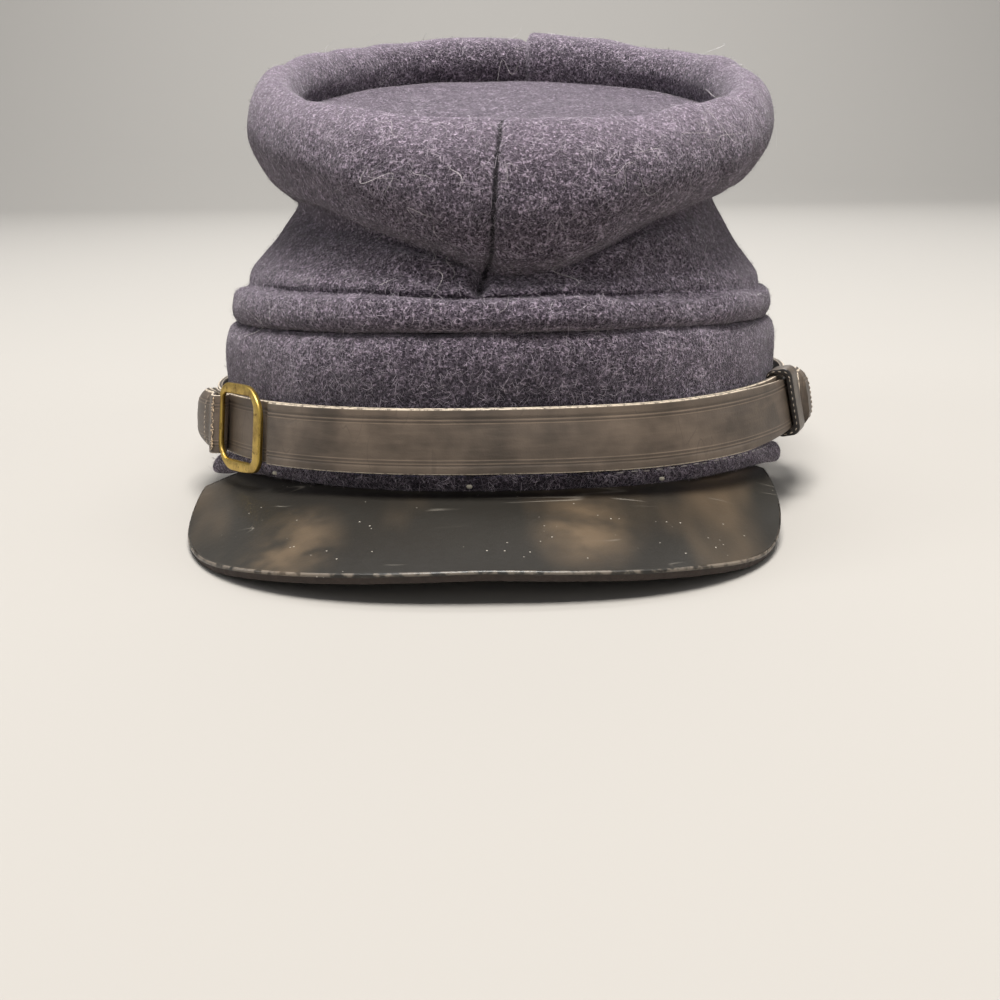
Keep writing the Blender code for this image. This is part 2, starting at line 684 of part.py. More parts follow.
def lay_on_table(pieces, cutters):
    """Parent everything to one empty, tilt the nose up to rest, and centre the cap over the origin."""
    holder = bpy.data.objects.new("kepi_cap_place", None)
    bpy.context.scene.collection.objects.link(holder)
    for thing in list(pieces) + list(cutters):
        thing.parent = holder
    tilt = rest_tilt()
    hinge = Vector((0, hem_back(), 0))
    turn = Matrix.Translation(hinge) @ Matrix.Rotation(-tilt, 4, "X") @ Matrix.Translation(-hinge)
    holder.matrix_world = turn
    bpy.context.view_layer.update()
    depsgraph = bpy.context.evaluated_depsgraph_get()
    corners = []
    for thing in pieces:
        shown = thing.evaluated_get(depsgraph)
        mesh = shown.to_mesh()
        places = np.empty(len(mesh.vertices) * 3)
        mesh.vertices.foreach_get("co", places)
        world = np.array(thing.matrix_world)
        spots = places.reshape(-1, 3) @ world[:3, :3].T + world[:3, 3]
        corners += [spots.min(axis=0), spots.max(axis=0)]
        shown.to_mesh_clear()
    middle = (np.min(corners, axis=0) + np.max(corners, axis=0)) / 2
    holder.matrix_world = Matrix.Translation((-middle[0], -middle[1], 0)) @ turn
    bpy.context.view_layer.update()


def main():
    clear_scene()
    cap = new_collection("kepi_cap")
    cutters = new_collection("cutters")
    wool = finish("wool", (0.060, 0.052, 0.085), 0.95)
    peak_leather = finish("peak_leather", (0.030, 0.028, 0.026), 0.35)
    strap_leather = finish("strap_leather", (0.110, 0.088, 0.075), 0.45)
    brass = finish("brass", (0.620, 0.440, 0.130), 0.35, 1.0)
    make_band(cap, wool)
    make_crown_walls(cap, wool)
    make_crown_top(cap, wool)
    make_peak(cap, peak_leather)
    make_strap_under(cap, cutters, strap_leather)
    make_strap_over(cap, strap_leather)
    make_buckle(cap, brass)
    make_buckle_tab(cap, strap_leather)
    make_keeper(cap, strap_leather)
    make_keeper_tab(cap, strap_leather)
    make_button("side_button_left", -1, cap, brass)
    make_button("side_button_right", 1, cap, brass)
    lay_on_table(list(cap.objects), list(cutters.objects))


main()
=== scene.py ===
# %% [markdown]
# # A soft wool cap with a leather peak
# The cap is a kepi of felted wool: an upright band, a collapsed crown that rolls over at the top round a
# sunken disc, a black leather peak and a buckled chin strap. The solid model is already packed at its
# real size, so this lesson dresses it: each piece is made again as a fine surface in the same place.
# Left and right are the viewer's, looking at the front, unless they are called the cap's own.

import bpy
import numpy as np
from mathutils import Euler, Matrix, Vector


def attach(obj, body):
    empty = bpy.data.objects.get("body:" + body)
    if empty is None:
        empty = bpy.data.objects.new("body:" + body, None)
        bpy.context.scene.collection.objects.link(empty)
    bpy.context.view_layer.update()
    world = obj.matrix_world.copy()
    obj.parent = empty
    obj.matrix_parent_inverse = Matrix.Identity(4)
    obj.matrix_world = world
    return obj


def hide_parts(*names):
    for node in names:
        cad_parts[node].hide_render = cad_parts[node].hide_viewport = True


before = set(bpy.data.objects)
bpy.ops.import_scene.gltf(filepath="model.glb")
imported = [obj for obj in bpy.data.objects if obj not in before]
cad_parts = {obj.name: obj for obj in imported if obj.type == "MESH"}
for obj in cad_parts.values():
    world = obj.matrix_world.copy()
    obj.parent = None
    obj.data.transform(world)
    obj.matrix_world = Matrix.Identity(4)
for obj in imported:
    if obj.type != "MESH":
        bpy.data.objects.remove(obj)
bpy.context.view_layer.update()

# %% [markdown]
# ## The view
# The cap is seen from just above its peak, a little from the left. A long lens would flatten the cap, and
# the real view doesn't, so the lens is a normal one at arm's length. The camera is made first, because
# every piece is judged through it.

# %% Make the camera
CAMERA_PLACE = (-0.0080, -0.3774, 0.0991)
CAMERA_DOWN = np.radians(16.14)
CAMERA_SIDE = np.radians(1.08)
CAMERA_ROLL = np.radians(-0.63)
CAMERA_LENS, CAMERA_SENSOR, CAMERA_NEAR = 44.85, 36, 0.01


def make_camera():
    """A camera that looks along +Y, turned down, to the side and about its own axis by the named angles."""
    data = bpy.data.cameras.new("view")
    data.lens = CAMERA_LENS
    data.sensor_width = CAMERA_SENSOR
    data.clip_start = CAMERA_NEAR
    eye = bpy.data.objects.new("view", data)
    eye.location = CAMERA_PLACE
    side, down, roll = (Euler(angles).to_matrix() for angles in (
        (0, 0, -CAMERA_SIDE), (np.pi / 2 - CAMERA_DOWN, 0, 0), (0, 0, CAMERA_ROLL)))
    eye.rotation_euler = (side @ down @ roll).to_euler()
    bpy.context.scene.collection.objects.link(eye)
    bpy.context.scene.camera = eye
    return eye


make_camera()
print("camera at", CAMERA_PLACE, "metres, lens", CAMERA_LENS, "mm")

# %% [markdown]
# ## From arrays to meshes
# Every piece here is a surface on a grid: a function of two parameters gives a block of points, rows by
# columns, and neighbouring points make quads. Working on whole arrays keeps it quick at half a million
# points. A closed piece is turned inside out when its volume comes out negative, so faces look outwards.

# %% Grid helper
def grid_quads(rows, columns, close_rows, close_columns):
    """Corner numbers of the quads between neighbouring rows and columns, joined end to end where asked."""
    row = np.arange(rows if close_rows else rows - 1)[:, None]
    column = np.arange(columns if close_columns else columns - 1)[None]
    above, beside = (row + 1) % rows, (column + 1) % columns
    corners = (row * columns + column, row * columns + beside, above * columns + beside,
               above * columns + column)
    return np.stack(np.broadcast_arrays(*corners), axis=-1).reshape(-1, 4)


def signed_volume(points, quads):
    """Volume in a closed mesh: a sixth of the sum of each triangle's triple product."""
    a, b, c, d = (points[quads[:, corner]] for corner in range(4))
    return (np.einsum("ij,ij->", a, np.cross(b, c)) + np.einsum("ij,ij->", a, np.cross(c, d))) / 6


def make_piece(name, points, quads, material, layout=None, smooth=True, outward=True):
    """A mesh object from points and quads that rides on the cap, with a UV map if a layout is given."""
    points = np.ascontiguousarray(points.reshape(-1, 3), dtype=float)
    quads = np.ascontiguousarray(quads, dtype=np.int32)
    if outward and signed_volume(points, quads) < 0:
        quads = quads[:, ::-1]
    mesh = bpy.data.meshes.new(name)
    mesh.from_pydata(points, [], quads)
    if layout is not None:
        corners = np.empty(len(mesh.loops), dtype=np.int32)
        mesh.loops.foreach_get("vertex_index", corners)
        spread = mesh.uv_layers.new(name="layout")
        spread.data.foreach_set("uv", layout.reshape(-1, 2)[corners].astype(np.float32).ravel())
    mesh.polygons.foreach_set("use_smooth", np.full(len(mesh.polygons), smooth))
    mesh.materials.append(material)
    mesh.validate()
    mesh.update()
    piece = bpy.data.objects.new(name, mesh)
    bpy.context.scene.collection.objects.link(piece)
    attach(piece, "root")
    print(f"{name}: {len(points)} points, {len(quads)} quads")
    return piece


print("a tube of 3 by 4 points has", len(grid_quads(3, 4, False, True)), "quads")

# %% [markdown]
# ## Shader maths as plain expressions
# A node tree is hard to read as a list of links. One small class holds a socket, and adding or multiplying
# two of them adds the Math node that does it. All other nodes come from one method, so a whole finish
# reads as a few lines of sums.

# %% Sockets that do sums
class Wire:
    """A socket of a node tree. Sums with it add Math nodes, and node() adds any other node."""

    def __init__(self, tree, socket=None):
        self.tree = tree
        self.socket = socket

    def node(self, kind, sockets, settings=None, output=0):
        """A new node of a kind: its settings are made first, then its sockets, and one output is kept."""
        made = self.tree.nodes.new(kind)
        for name, value in (settings or {}).items():
            setattr(made, name, value)
        for name, value in sockets.items():
            if isinstance(value, Wire):
                self.tree.links.new(value.socket, made.inputs[name])
            else:
                made.inputs[name].default_value = value
        return Wire(self.tree, made.outputs[output])

    def sum(self, operation, first, second=0.0, clamp=False):
        """A Math node on two values, each a wire or a plain number."""
        return self.node("ShaderNodeMath", {0: first, 1: second},
                         {"operation": operation, "use_clamp": clamp})

    def __add__(self, other):
        return self.sum("ADD", self, other)

    def __radd__(self, other):
        return self.sum("ADD", other, self)

    def __sub__(self, other):
        return self.sum("SUBTRACT", self, other)

    def __rsub__(self, other):
        return self.sum("SUBTRACT", other, self)

    def __mul__(self, other):
        return self.sum("MULTIPLY", self, other)

    def __rmul__(self, other):
        return self.sum("MULTIPLY", other, self)

    def __abs__(self):
        return self.sum("ABSOLUTE", self)

    def clamped(self):
        """The value held between 0 and 1."""
        return self.sum("ADD", self, 0.0, True)

    def smooth(self, start, end):
        """0 below start and 1 above end, with a soft step between."""
        return self.node("ShaderNodeMapRange", {"Value": self, "From Min": start, "From Max": end},
                         {"interpolation_type": "SMOOTHSTEP"})

    def within(self, rise, full, fall, gone):
        """1 between full and fall, with a soft step up from rise and a soft step down to gone."""
        return self.smooth(rise, full) * (1 - self.smooth(fall, gone))


print("a wire can:", ", ".join(name for name in vars(Wire) if not name.startswith("_")))

# %% [markdown]
# Each finish starts as one Principled shader with plain numbers. Only what changes over the surface is
# worked out with wires and linked in afterwards.

# %% Start and feed a finish
def start_finish(name, colour, roughness, **fixed):
    """A new material: its Principled shader's plain numbers set, and a Wire to build the rest from."""
    material = bpy.data.materials.new(name)
    material.use_nodes = True
    shader = material.node_tree.nodes["Principled BSDF"]
    shader.inputs["Base Color"].default_value = (*colour, 1.0)
    shader.inputs["Roughness"].default_value = roughness
    for socket, value in fixed.items():
        shader.inputs[socket.replace("_", " ")].default_value = value
    return material, shader, Wire(material.node_tree)


def feed(shader, **links):
    """Link worked-out values to the shader's sockets, such as Base_Color or Normal."""
    for socket, wire in links.items():
        wire.tree.links.new(wire.socket, shader.inputs[socket.replace("_", " ")])


print("a link to Base_Color goes to the socket called", "Base_Color".replace("_", " "))

# %% [markdown]
# Most finishes need the same few sources: the place on the cap, noise of some size at that place, and a
# mix of two colours. Noise is scaled in features per metre, so 1000 is about one blot to a millimetre.

# %% Common sources
MIX_SHARE, MIX_FIRST, MIX_SECOND, MIX_RESULT = 0, 6, 7, 2


def place_of(wire):
    """The place on the cap, in metres."""
    return wire.node("ShaderNodeTexCoord", {}, output="Object")


def layout_of(wire):
    """A piece's own UV map, as its first and second number."""
    spread = wire.node("ShaderNodeUVMap", {}, {"uv_map": "layout"})
    return (wire.node("ShaderNodeSeparateXYZ", {0: spread}, output=axis) for axis in ("X", "Y"))


def noise(place, per_metre, detail=2.0, roughness=0.5, distortion=0.0):
    """Soft random blots, from 0 to 1 and mostly near the middle."""
    return place.node("ShaderNodeTexNoise", {"Vector": place, "Scale": per_metre, "Detail": detail,
                                             "Roughness": roughness, "Distortion": distortion})


def stretched(place, scale, turn=(0.0, 0.0, 0.0)):
    """The place with each axis scaled: a pattern is drawn out along the axis with the least scale."""
    return place.node("ShaderNodeMapping", {"Vector": place, "Rotation": turn, "Scale": scale})


def mixed(share, first, second):
    """Two colours mixed by a share from 0 to 1."""
    first, second = (colour if isinstance(colour, Wire) else (*colour, 1.0) for colour in (first, second))
    return share.node("ShaderNodeMix", {MIX_SHARE: share, MIX_FIRST: first, MIX_SECOND: second},
                      {"data_type": "RGBA"}, output=MIX_RESULT)


def scaled(colour, share):
    """A plain colour made darker or lighter."""
    return tuple(share * value for value in colour)


def bumped(height, distance, strength=1.0):
    """The surface's normal, tilted as if a height from 0 to 1 stood out by that distance."""
    return height.node("ShaderNodeBump", {"Height": height, "Distance": distance, "Strength": strength})


print("half of a colour:", scaled((0.4, 0.3, 0.2), 0.5))

# %% [markdown]
# ## The wool
# The cloth is fulled until its weave is gone: what shows is a mat of curly fibres, dark navy with a violet
# cast, and paler where a fibre catches the light. A line of noise where the value crosses its middle is a
# thin curly loop, so three sizes of such lines drawn over each other look like the mat of fibres, and
# specks of light and dark stand for tufts too small to draw. The same values lift the surface, and a
# little sheen gives the nap its pale bloom at grazing angles. A scanned picture of cloth would repeat and
# stretch on the folds, and noise at the place itself doesn't.

# %% Wool finish
WOOL_DARK = (0.004, 0.003, 0.006)
WOOL_MIDDLE = (0.036, 0.0255, 0.0395)
WOOL_PALE = (0.560, 0.455, 0.560)
FELT_LINES = (
    # per metre, thinness, offset
    (520, 18, 0.013), (980, 13, 0.041), (1700, 8, 0.077),
)
SEAM_WOBBLE, SEAM_EDGE = 0.0006, (0.0002, 0.0011)
# The seam's rows, and the crest's rows, which are paled as a painted highlight.
SEAM_ROWS, CREST_HIGHLIGHT_ROWS = (4.6, 5.4, 13.0, 13.8), (11.2, 12.6, 13.3, 14.8)
# Painted shade of the strap on the band's front: its middle and spread across, where it ends towards the
# back, the heights over which it fades, and how dark it gets.
STRAP_SHADE_MIDDLE, STRAP_SHADE_ACROSS, STRAP_SHADE_BACK = -0.010, (0.020, 0.072), (-0.06, 0.0)
STRAP_SHADE_LEVEL, STRAP_SHADE_SHARE = (0.021, 0.039), 0.58


def curly_lines(place, per_metre, thinness, offset, curl=0.6):
    """1 on thin loops where noise crosses its middle value, falling to 0 beside them."""
    moved = place.node("ShaderNodeVectorMath", {0: place, 1: (offset, 2 * offset, -offset)})
    value = noise(moved, per_metre, 1.0, 0.5, curl)
    return (1 - abs(value - 0.5) * thinness).clamped()


print("fibre lines to a centimetre:", [round(line[0] / 100, 1) for line in FELT_LINES])

# %% [markdown]
# One function makes the wool for every piece. The crown's has a dark pressed seam and a paler rim crest,
# which is a painted highlight, and the band's has painted shade on its front, below and round the strap. All
# these masks are soft, so none of them shows an edge.

# %% Make the wool
def make_wool(name, seamed=False, wear_and_painted_light=False):
    """Felted wool. Seamed darkens the front seam and pales the rim's crest as a painted highlight, and the
    last flag paints shade on the front, below and round the strap.
    """
    material, shader, wire = start_finish(
        name, WOOL_MIDDLE, 0.92, Sheen_Weight=0.32, Sheen_Roughness=0.35,
        Sheen_Tint=(0.80, 0.74, 0.80, 1.0), Specular_IOR_Level=0.25)
    place = place_of(wire)
    coarse, middle, fine = (curly_lines(place, *line) for line in FELT_LINES)
    broken = noise(place, 260, 1.0).smooth(0.38, 0.62)
    mat = noise(place, 2400, 2.0, 0.7)
    patches = noise(place, 55, 3.0, 0.6)
    speck = noise(place, 1250, 2.0, 0.65, 0.4)
    body = mixed((mat + speck * 1.4 + patches * 0.4 - 0.95).clamped(), WOOL_DARK, WOOL_MIDDLE)
    lit = coarse * broken * 0.30 + middle * 0.16 + fine * 0.08 + speck.smooth(0.54, 0.68) * 0.50
    height = coarse * broken * 0.6 + middle * 0.4 + fine * 0.3 + mat * 0.6 + speck * 1.6
    colour = mixed(lit.clamped(), body, WOOL_PALE)
    if seamed:
        across, up = layout_of(wire)
        wobble = (noise(place, 500, 2.0) - 0.5) * SEAM_WOBBLE
        pressed = (1 - abs(across + wobble).smooth(*SEAM_EDGE)) * up.within(*SEAM_ROWS)
        # Painted highlight: the rim's crest is paled where the light catches it.
        crest = up.within(*CREST_HIGHLIGHT_ROWS)
        colour = mixed(crest * (mat * 0.5 + speck * 0.5) * 0.30, colour, WOOL_PALE)
        colour = mixed(pressed * 0.85, colour, scaled(WOOL_DARK, 0.35))
    if wear_and_painted_light:
        # Painted shade: the front is darkened below and round the strap, where the strap shades the cloth.
        x, y, z = (wire.node("ShaderNodeSeparateXYZ", {0: place}, output=axis) for axis in "XYZ")
        level = z * np.cos(REST_TILT) + (y - HEM_BACK - REST_PLACE[1]) * np.sin(REST_TILT)
        front = (1 - abs(x - STRAP_SHADE_MIDDLE).smooth(*STRAP_SHADE_ACROSS)) * (1 - y.smooth(*STRAP_SHADE_BACK))
        colour = mixed((1 - level.smooth(*STRAP_SHADE_LEVEL)) * front * STRAP_SHADE_SHARE, colour, WOOL_DARK)
    feed(shader, Base_Color=colour, Normal=bumped(height, 0.00045, 0.9))
    return material


wool = make_wool("felted_wool")
crown_wool = make_wool("seamed_wool", True)
for finish in (wool, crown_wool):
    print(finish.name, "has", len(finish.node_tree.nodes), "nodes")

# %% [markdown]
# ## The cap's frame
# The shapes are worked out with the cap's rim level and the peak towards -Y, as a cap maker would draw
# them. One function then lays them down as the cap rests on a table, on the corners of its peak and the
# back of its band, which tips the front up by about five degrees.

# %% Lay the cap on the table
HEM_BACK = 0.095158
REST_TILT = np.radians(4.797)
REST_PLACE = (-0.000136, 0.017541)


def lay(points):
    """Turn points about the back of the hem by the rest tilt, then move them over the middle of the table."""
    back, up = points[..., 1] - HEM_BACK, points[..., 2]
    return np.stack([points[..., 0] + REST_PLACE[0],
                     HEM_BACK + back * np.cos(REST_TILT) + up * np.sin(REST_TILT) + REST_PLACE[1],
                     up * np.cos(REST_TILT) - back * np.sin(REST_TILT)], axis=-1)


print("middle of the rim, laid down, metres:", lay(np.zeros(3)))

# %% [markdown]
# A few small helpers do the rest of the drawing. Most outlines are superellipses, which are ovals with
# fuller corners, smooth curves go through tables of a few rows, and soft waves stand for all that a hand
# or a long use leaves uneven.

# %% Drawing helpers
WAVE_PACES, WAVE_HEIGHT = (0.7, 1.5), 1.4


def signed_power(value, power):
    """A power of the value's size, with its own sign."""
    return np.sign(value) * np.abs(value) ** power


def unit(vectors):
    """Vectors brought to a length of 1."""
    return vectors / np.maximum(np.linalg.norm(vectors, axis=-1, keepdims=True), 1e-12)


def ramp(distance, length=1.0):
    """From 0 to 1 over a length, and level before and after it."""
    return np.clip(distance / length, 0, 1)


def eased(share):
    """A share from 0 to 1 that starts and ends gently: three squares less two cubes."""
    return share * share * (3 - 2 * share)


def near(value, middle, reach):
    """A soft bump: 1 at the middle value, falling off as a bell of that reach."""
    return np.exp(-((value - middle) / reach) ** 2)


def whole_turn(count):
    """Angles spread evenly round a whole turn."""
    return np.linspace(0, 2 * np.pi, count, endpoint=False)


def outline(width, front, back, square, angle):
    """Plan of a section as a superellipse: signed powers of sine and cosine, from the front to the back."""
    middle, depth = (back - front) / 2, (back + front) / 2
    return (width * signed_power(np.sin(angle), 2 / square),
            middle - depth * signed_power(np.cos(angle), 2 / square))


def through(table, steps):
    """Values at fine steps between a table's rows, on a smooth cubic curve through each column."""
    padded = np.vstack([2 * table[0] - table[1], table, 2 * table[-1] - table[-2]])
    row = np.minimum(steps.astype(int), len(table) - 2)
    t = (steps - row)[:, None]
    before, start, end, after = (padded[row + shift] for shift in range(4))
    return 0.5 * (2 * start + (end - before) * t + (2 * before - 5 * start + 4 * end - after) * t ** 2
                  + (3 * start - before - 3 * end + after) * t ** 3)


def soft_waves(points, length, seed, count=14):
    """Smooth noise between about -1 and 1: a sum of sine waves of random direction, about length apart."""
    random = np.random.default_rng(seed)
    direction = random.normal(size=(count, 3))
    direction /= np.linalg.norm(direction, axis=1, keepdims=True)
    pace = 2 * np.pi / (length * random.uniform(*WAVE_PACES, count))
    waves = np.sin(points @ (direction * pace[:, None]).T + random.uniform(0, 2 * np.pi, count))
    return waves.sum(axis=-1) / np.sqrt(count) / WAVE_HEIGHT


def normals_of(points, wrap):
    """Unit normals of a grid: the cross product of its two directions, columns joined where it wraps."""
    if wrap:
        across = np.roll(points, -1, axis=1) - np.roll(points, 1, axis=1)
    else:
        across = np.gradient(points, axis=1)
    return unit(np.cross(across, np.gradient(points, axis=0)))


print("a superellipse, 100 by 140, at an eighth of a turn:", outline(50, 70, 70, 2.3, np.pi / 4))

# %% [markdown]
# ## The crown's cloth
# One cloth goes from the band to the top: it puffs out in a roll over the band, sinks inwards where the
# crown has collapsed, and rolls over outwards again round the sunken top. A simulation could drop a cap on
# a table, but it wouldn't find the folds of this one. So the shape is a table of sections, each a
# superellipse with its own heights at the front, sides and back, and a smooth curve goes through them.

# %% Crown sections
BAND_HALF_WIDTH, BAND_HALF_DEPTH, BAND_HEIGHT = 0.0835, 0.0980, 0.0378
BAND_SQUARE = 2.3
CROWN_RISE, CROWN_WALL, PINCH_POWER = 0.0918, 0.0024, 12
JOINT, ROLL_SAG, ROLL_SAG_TURN = 0.0003, 0.0011, 0.35
SEAM_FILL, SEAM_FILL_TURN, SEAM_FILL_REACH = 0.015, 0.25, 0.6

CROWN_SECTIONS = np.array([
    # width front  back   z_front z_side z_back pinch bend  lean    shift  square
    (0.952, 0.962, 0.969, 0.000, 0.000, 0.000, 0.00, 1.00, 0.000, 0.000, 2.30),
    (0.972, 0.994, 1.003, 0.018, 0.019, 0.021, 0.00, 1.00, -0.004, 0.002, 2.30),
    (0.976, 1.004, 1.010, 0.048, 0.050, 0.050, 0.00, 1.00, -0.007, 0.004, 2.30),
    (0.962, 0.990, 0.998, 0.077, 0.081, 0.080, 0.00, 1.00, -0.010, 0.006, 2.30),
    (0.940, 0.961, 0.971, 0.090, 0.097, 0.100, 0.00, 1.00, -0.013, 0.008, 2.28),
    (0.930, 0.949, 0.969, 0.106, 0.136, 0.165, 0.15, 1.20, -0.010, 0.010, 2.26),
    (0.875, 0.920, 0.949, 0.119, 0.200, 0.274, 0.30, 1.50, -0.004, 0.015, 2.24),
    (0.797, 0.896, 0.898, 0.128, 0.295, 0.427, 0.40, 1.70, 0.006, 0.020, 2.20),
    (0.748, 0.878, 0.832, 0.138, 0.375, 0.569, 0.45, 1.80, 0.012, 0.026, 2.18),
    (0.774, 0.908, 0.801, 0.152, 0.404, 0.634, 0.45, 1.80, 0.010, 0.030, 2.15),
    (0.850, 0.969, 0.781, 0.190, 0.462, 0.700, 0.38, 1.60, 0.000, 0.036, 2.12),
    (0.912, 1.016, 0.750, 0.310, 0.583, 0.820, 0.20, 1.30, -0.006, 0.042, 2.10),
    (0.893, 1.006, 0.689, 0.449, 0.705, 0.939, 0.08, 1.10, -0.008, 0.045, 2.08),
    (0.832, 0.953, 0.597, 0.542, 0.771, 1.000, 0.00, 1.00, -0.010, 0.046, 2.05),
    (0.772, 0.888, 0.522, 0.523, 0.750, 0.978, 0.00, 1.00, -0.010, 0.046, 2.04),
    (0.742, 0.856, 0.496, 0.466, 0.686, 0.905, 0.00, 1.00, -0.010, 0.046, 2.03),
    (0.772, 0.885, 0.530, 0.402, 0.606, 0.811, 0.00, 1.00, -0.010, 0.046, 2.02),
])
CREASE, NECK, CREST = 4, 8, 13
CROWN_COLUMNS, CROWN_ROWS, LINING_ROWS = 440, 190, 24
print("crown sections:", len(CROWN_SECTIONS), "the last one's height at the back, metres:",
      CROWN_SECTIONS[-1, 5] * CROWN_RISE)

# %% [markdown]
# Between the rows of the table the surface is a smooth curve. The height goes from the front's value to the
# side's and the back's by the cosine of the angle, and where the crown is pinched it does so more sharply.

# %% Crown surface
def filled(x, y, angle, rows_away):
    """A plan pushed out where the seam over the band is filled, which is only on the front's right."""
    share = SEAM_FILL * np.clip(np.sin(angle - SEAM_FILL_TURN), 0, 1) ** 0.7
    return (side * (1 + share * near(rows_away[:, None], 0, SEAM_FILL_REACH)) for side in (x, y))


def crown_points(steps, angle):
    """The crown's surface: rows at fine steps of the section table, columns at angles round the cap."""
    (width, front, back, z_front, z_side, z_back, pinch, bend, lean, shift,
     square) = through(CROWN_SECTIONS, steps).T[..., None]
    x, y = outline(width * BAND_HALF_WIDTH, front * BAND_HALF_DEPTH, back * BAND_HALF_DEPTH, square, angle)
    x, y = filled(x, y, angle, steps)
    forward, backward = np.clip(np.cos(angle), 0, 1), np.clip(-np.cos(angle), 0, 1)
    share = (1 - pinch) * forward ** bend + pinch * forward ** PINCH_POWER
    height = z_side + (z_front - z_side) * share + (z_back - z_side) * backward ** bend
    x = x + shift * BAND_HALF_WIDTH
    seams = 1 + ramp(steps - CREASE) + ramp(steps - NECK)
    sag = ROLL_SAG * np.cos(angle + ROLL_SAG_TURN) * near(steps[:, None], 1.5, 1.3)
    z = BAND_HEIGHT + seams[:, None] * JOINT + height * CROWN_RISE + lean * x - sag
    return np.stack([x, y, z], axis=-1)


print("front of the crest, metres:", crown_points(np.array([float(CREST)]), np.zeros(1))[0, 0])

# %% [markdown]
# The crown's wall has a seam at the front, which is pressed into a deep groove that leans to the left and
# back, and one at the back, where the rim's cloth laps over itself. Both are placed by the distance round
# the cloth, so a groove keeps its width in millimetres while the sections change under it.

# %% Seams of the crown
FRONT_GIRTH, BACK_GIRTH, BACK_SEAM_SHIFT = 0.085, 0.075, 0.009
SEAM_LEAN, SEAM_LEAN_RIM, SEAM_LEAN_FOOT = 0.0088, 0.0036, 0.0026
GROOVE_DEEP, GROOVE_DEEP_LOW, GROOVE_REACH, GROOVE_REACH_LOW = 0.0010, 0.0016, 0.0008, 0.0011
SEAM_RIDGE, SEAM_RIDGE_AT, SEAM_RIDGE_REACH = 0.0005, 0.0042, 0.0020
LAP_HEIGHT, LAP_EDGE, LAP_LENGTH = 0.0012, 0.0004, 0.045
BACK_GROOVE, BACK_GROOVE_AT, BACK_GROOVE_REACH = 0.0011, 0.0004, 0.0015


def from_front(angle):
    """The angle from the front, from minus half a turn to half a turn."""
    return (angle + np.pi) % (2 * np.pi) - np.pi


def front_seam(angle, step):
    """Distance round the cloth from the front seam, which leans to the left and back on its way down."""
    lean = SEAM_LEAN - SEAM_LEAN_RIM * ramp(step - 7, 6) - SEAM_LEAN_FOOT * ramp(8 - step, 3)
    return from_front(angle) * FRONT_GIRTH + lean


def back_seam(angle):
    """Distance round the cloth from the back seam, which is a little to one side."""
    return (angle - np.pi) * BACK_GIRTH + BACK_SEAM_SHIFT


def seam_relief(step, angle):
    """The front groove between two ridges, the rim's lap at the back, and the groove under it."""
    front, back = front_seam(angle, step), back_seam(angle)
    low = ramp(11.5 - step, 5)
    groove = -(GROOVE_DEEP + GROOVE_DEEP_LOW * low) * near(front, 0, GROOVE_REACH + GROOVE_REACH_LOW * low)
    groove = groove + SEAM_RIDGE * near(np.abs(front), SEAM_RIDGE_AT, SEAM_RIDGE_REACH)
    groove = groove * ramp(step - CREASE - 0.5, 1.5) * ramp(CREST + 0.6 - step, 0.8)
    lap = LAP_HEIGHT * (1 - np.tanh(back / LAP_EDGE)) * np.clip(1 + back / LAP_LENGTH, 0, 1)
    pressed = BACK_GROOVE * near(back, BACK_GROOVE_AT, BACK_GROOVE_REACH) * ramp(step - CREASE, 1.5)
    return groove + lap * ramp(step - NECK, 1.5) - pressed


print("front seam's shift at the rim and at its foot, metres:", front_seam(0, CREST), front_seam(0, CREASE))

# %% [markdown]
# The cloth also has folds and dents where it has been handled: a crease over the roll, two pinched corners
# under the rim, two fuller places beside the front seam, and waves in three sizes. Each fold is a bell
# across the rows of the section table, so it is placed by the same row numbers as the sections.

# %% Folds of the crown
FOLDS = {
    # middle and reach in rows, and how far the cloth is moved out, in metres
    "swell": (3.2, 0.8, 0.0007),
    "crease": (4.6, 0.55, -0.0019),
    "corner": (8.0, 0.7, -0.0030),
    "brow": (9.6, 0.6, 0.0010),
    "left_filling": (7.2, 1.1, 0.0040),
    "right_filling": (7.2, 1.1, 0.0038),
}
CREASE_TURN, CREASE_LEAST, CREASE_WAVES = 0.50, 0.30, 0.35
CORNER_AT, CORNER_REACH, RIGHT_CORNER = 0.85, 0.42, 0.4
LEFT_FILLING_AT, RIGHT_FILLING_AT = (-0.30, 0.20), (0.50, 0.36)


def fold(name, step):
    """One fold of the table, as a bell across the rows."""
    middle, reach, depth = FOLDS[name]
    return depth * near(step, middle, reach)


def fold_relief(points, step, angle):
    """The crease over the roll, the pinched corners and the fuller places beside the front seam."""
    turned = from_front(angle)
    deep = CREASE_LEAST + (1 - CREASE_LEAST) * np.clip(np.cos(angle + CREASE_TURN), 0, 1)
    deep = deep * (1 + CREASE_WAVES * soft_waves(points, 0.055, 7))
    corners = near(np.abs(turned), CORNER_AT, CORNER_REACH) * np.where(turned > 0, RIGHT_CORNER, 1.0)
    return (fold("swell", step) + deep * fold("crease", step)
            + corners * (fold("corner", step) + fold("brow", step))
            + near(turned, *RIGHT_FILLING_AT) * fold("right_filling", step)
            + near(turned, *LEFT_FILLING_AT) * fold("left_filling", step))


def crown_relief(points, steps, angle):
    """How far the cloth stands off its plain surface: seams, folds, and waves in three sizes."""
    step = steps[:, None]
    waves = 0.0009 * soft_waves(points, 0.045, 3) + 0.0004 * soft_waves(points, 0.019, 5)
    ripple = 0.00022 * soft_waves(points * np.array([1.0, 1.0, 0.35]), 0.012, 9)
    return seam_relief(step, angle) + fold_relief(points, step, angle) + waves * ramp(step, 2) + ripple


print("deepest fold, metres:", min(depth for _, _, depth in FOLDS.values()))

# %% [markdown]
# The wall has two sides: the outer rows carry all the detail, and the inner ones only need to follow the
# shape at the cloth's thickness. Going up the outside and down the inside in one grid closes the wall at
# both edges, so no modifier is needed. The columns stand closer together at the front, which is seen most.

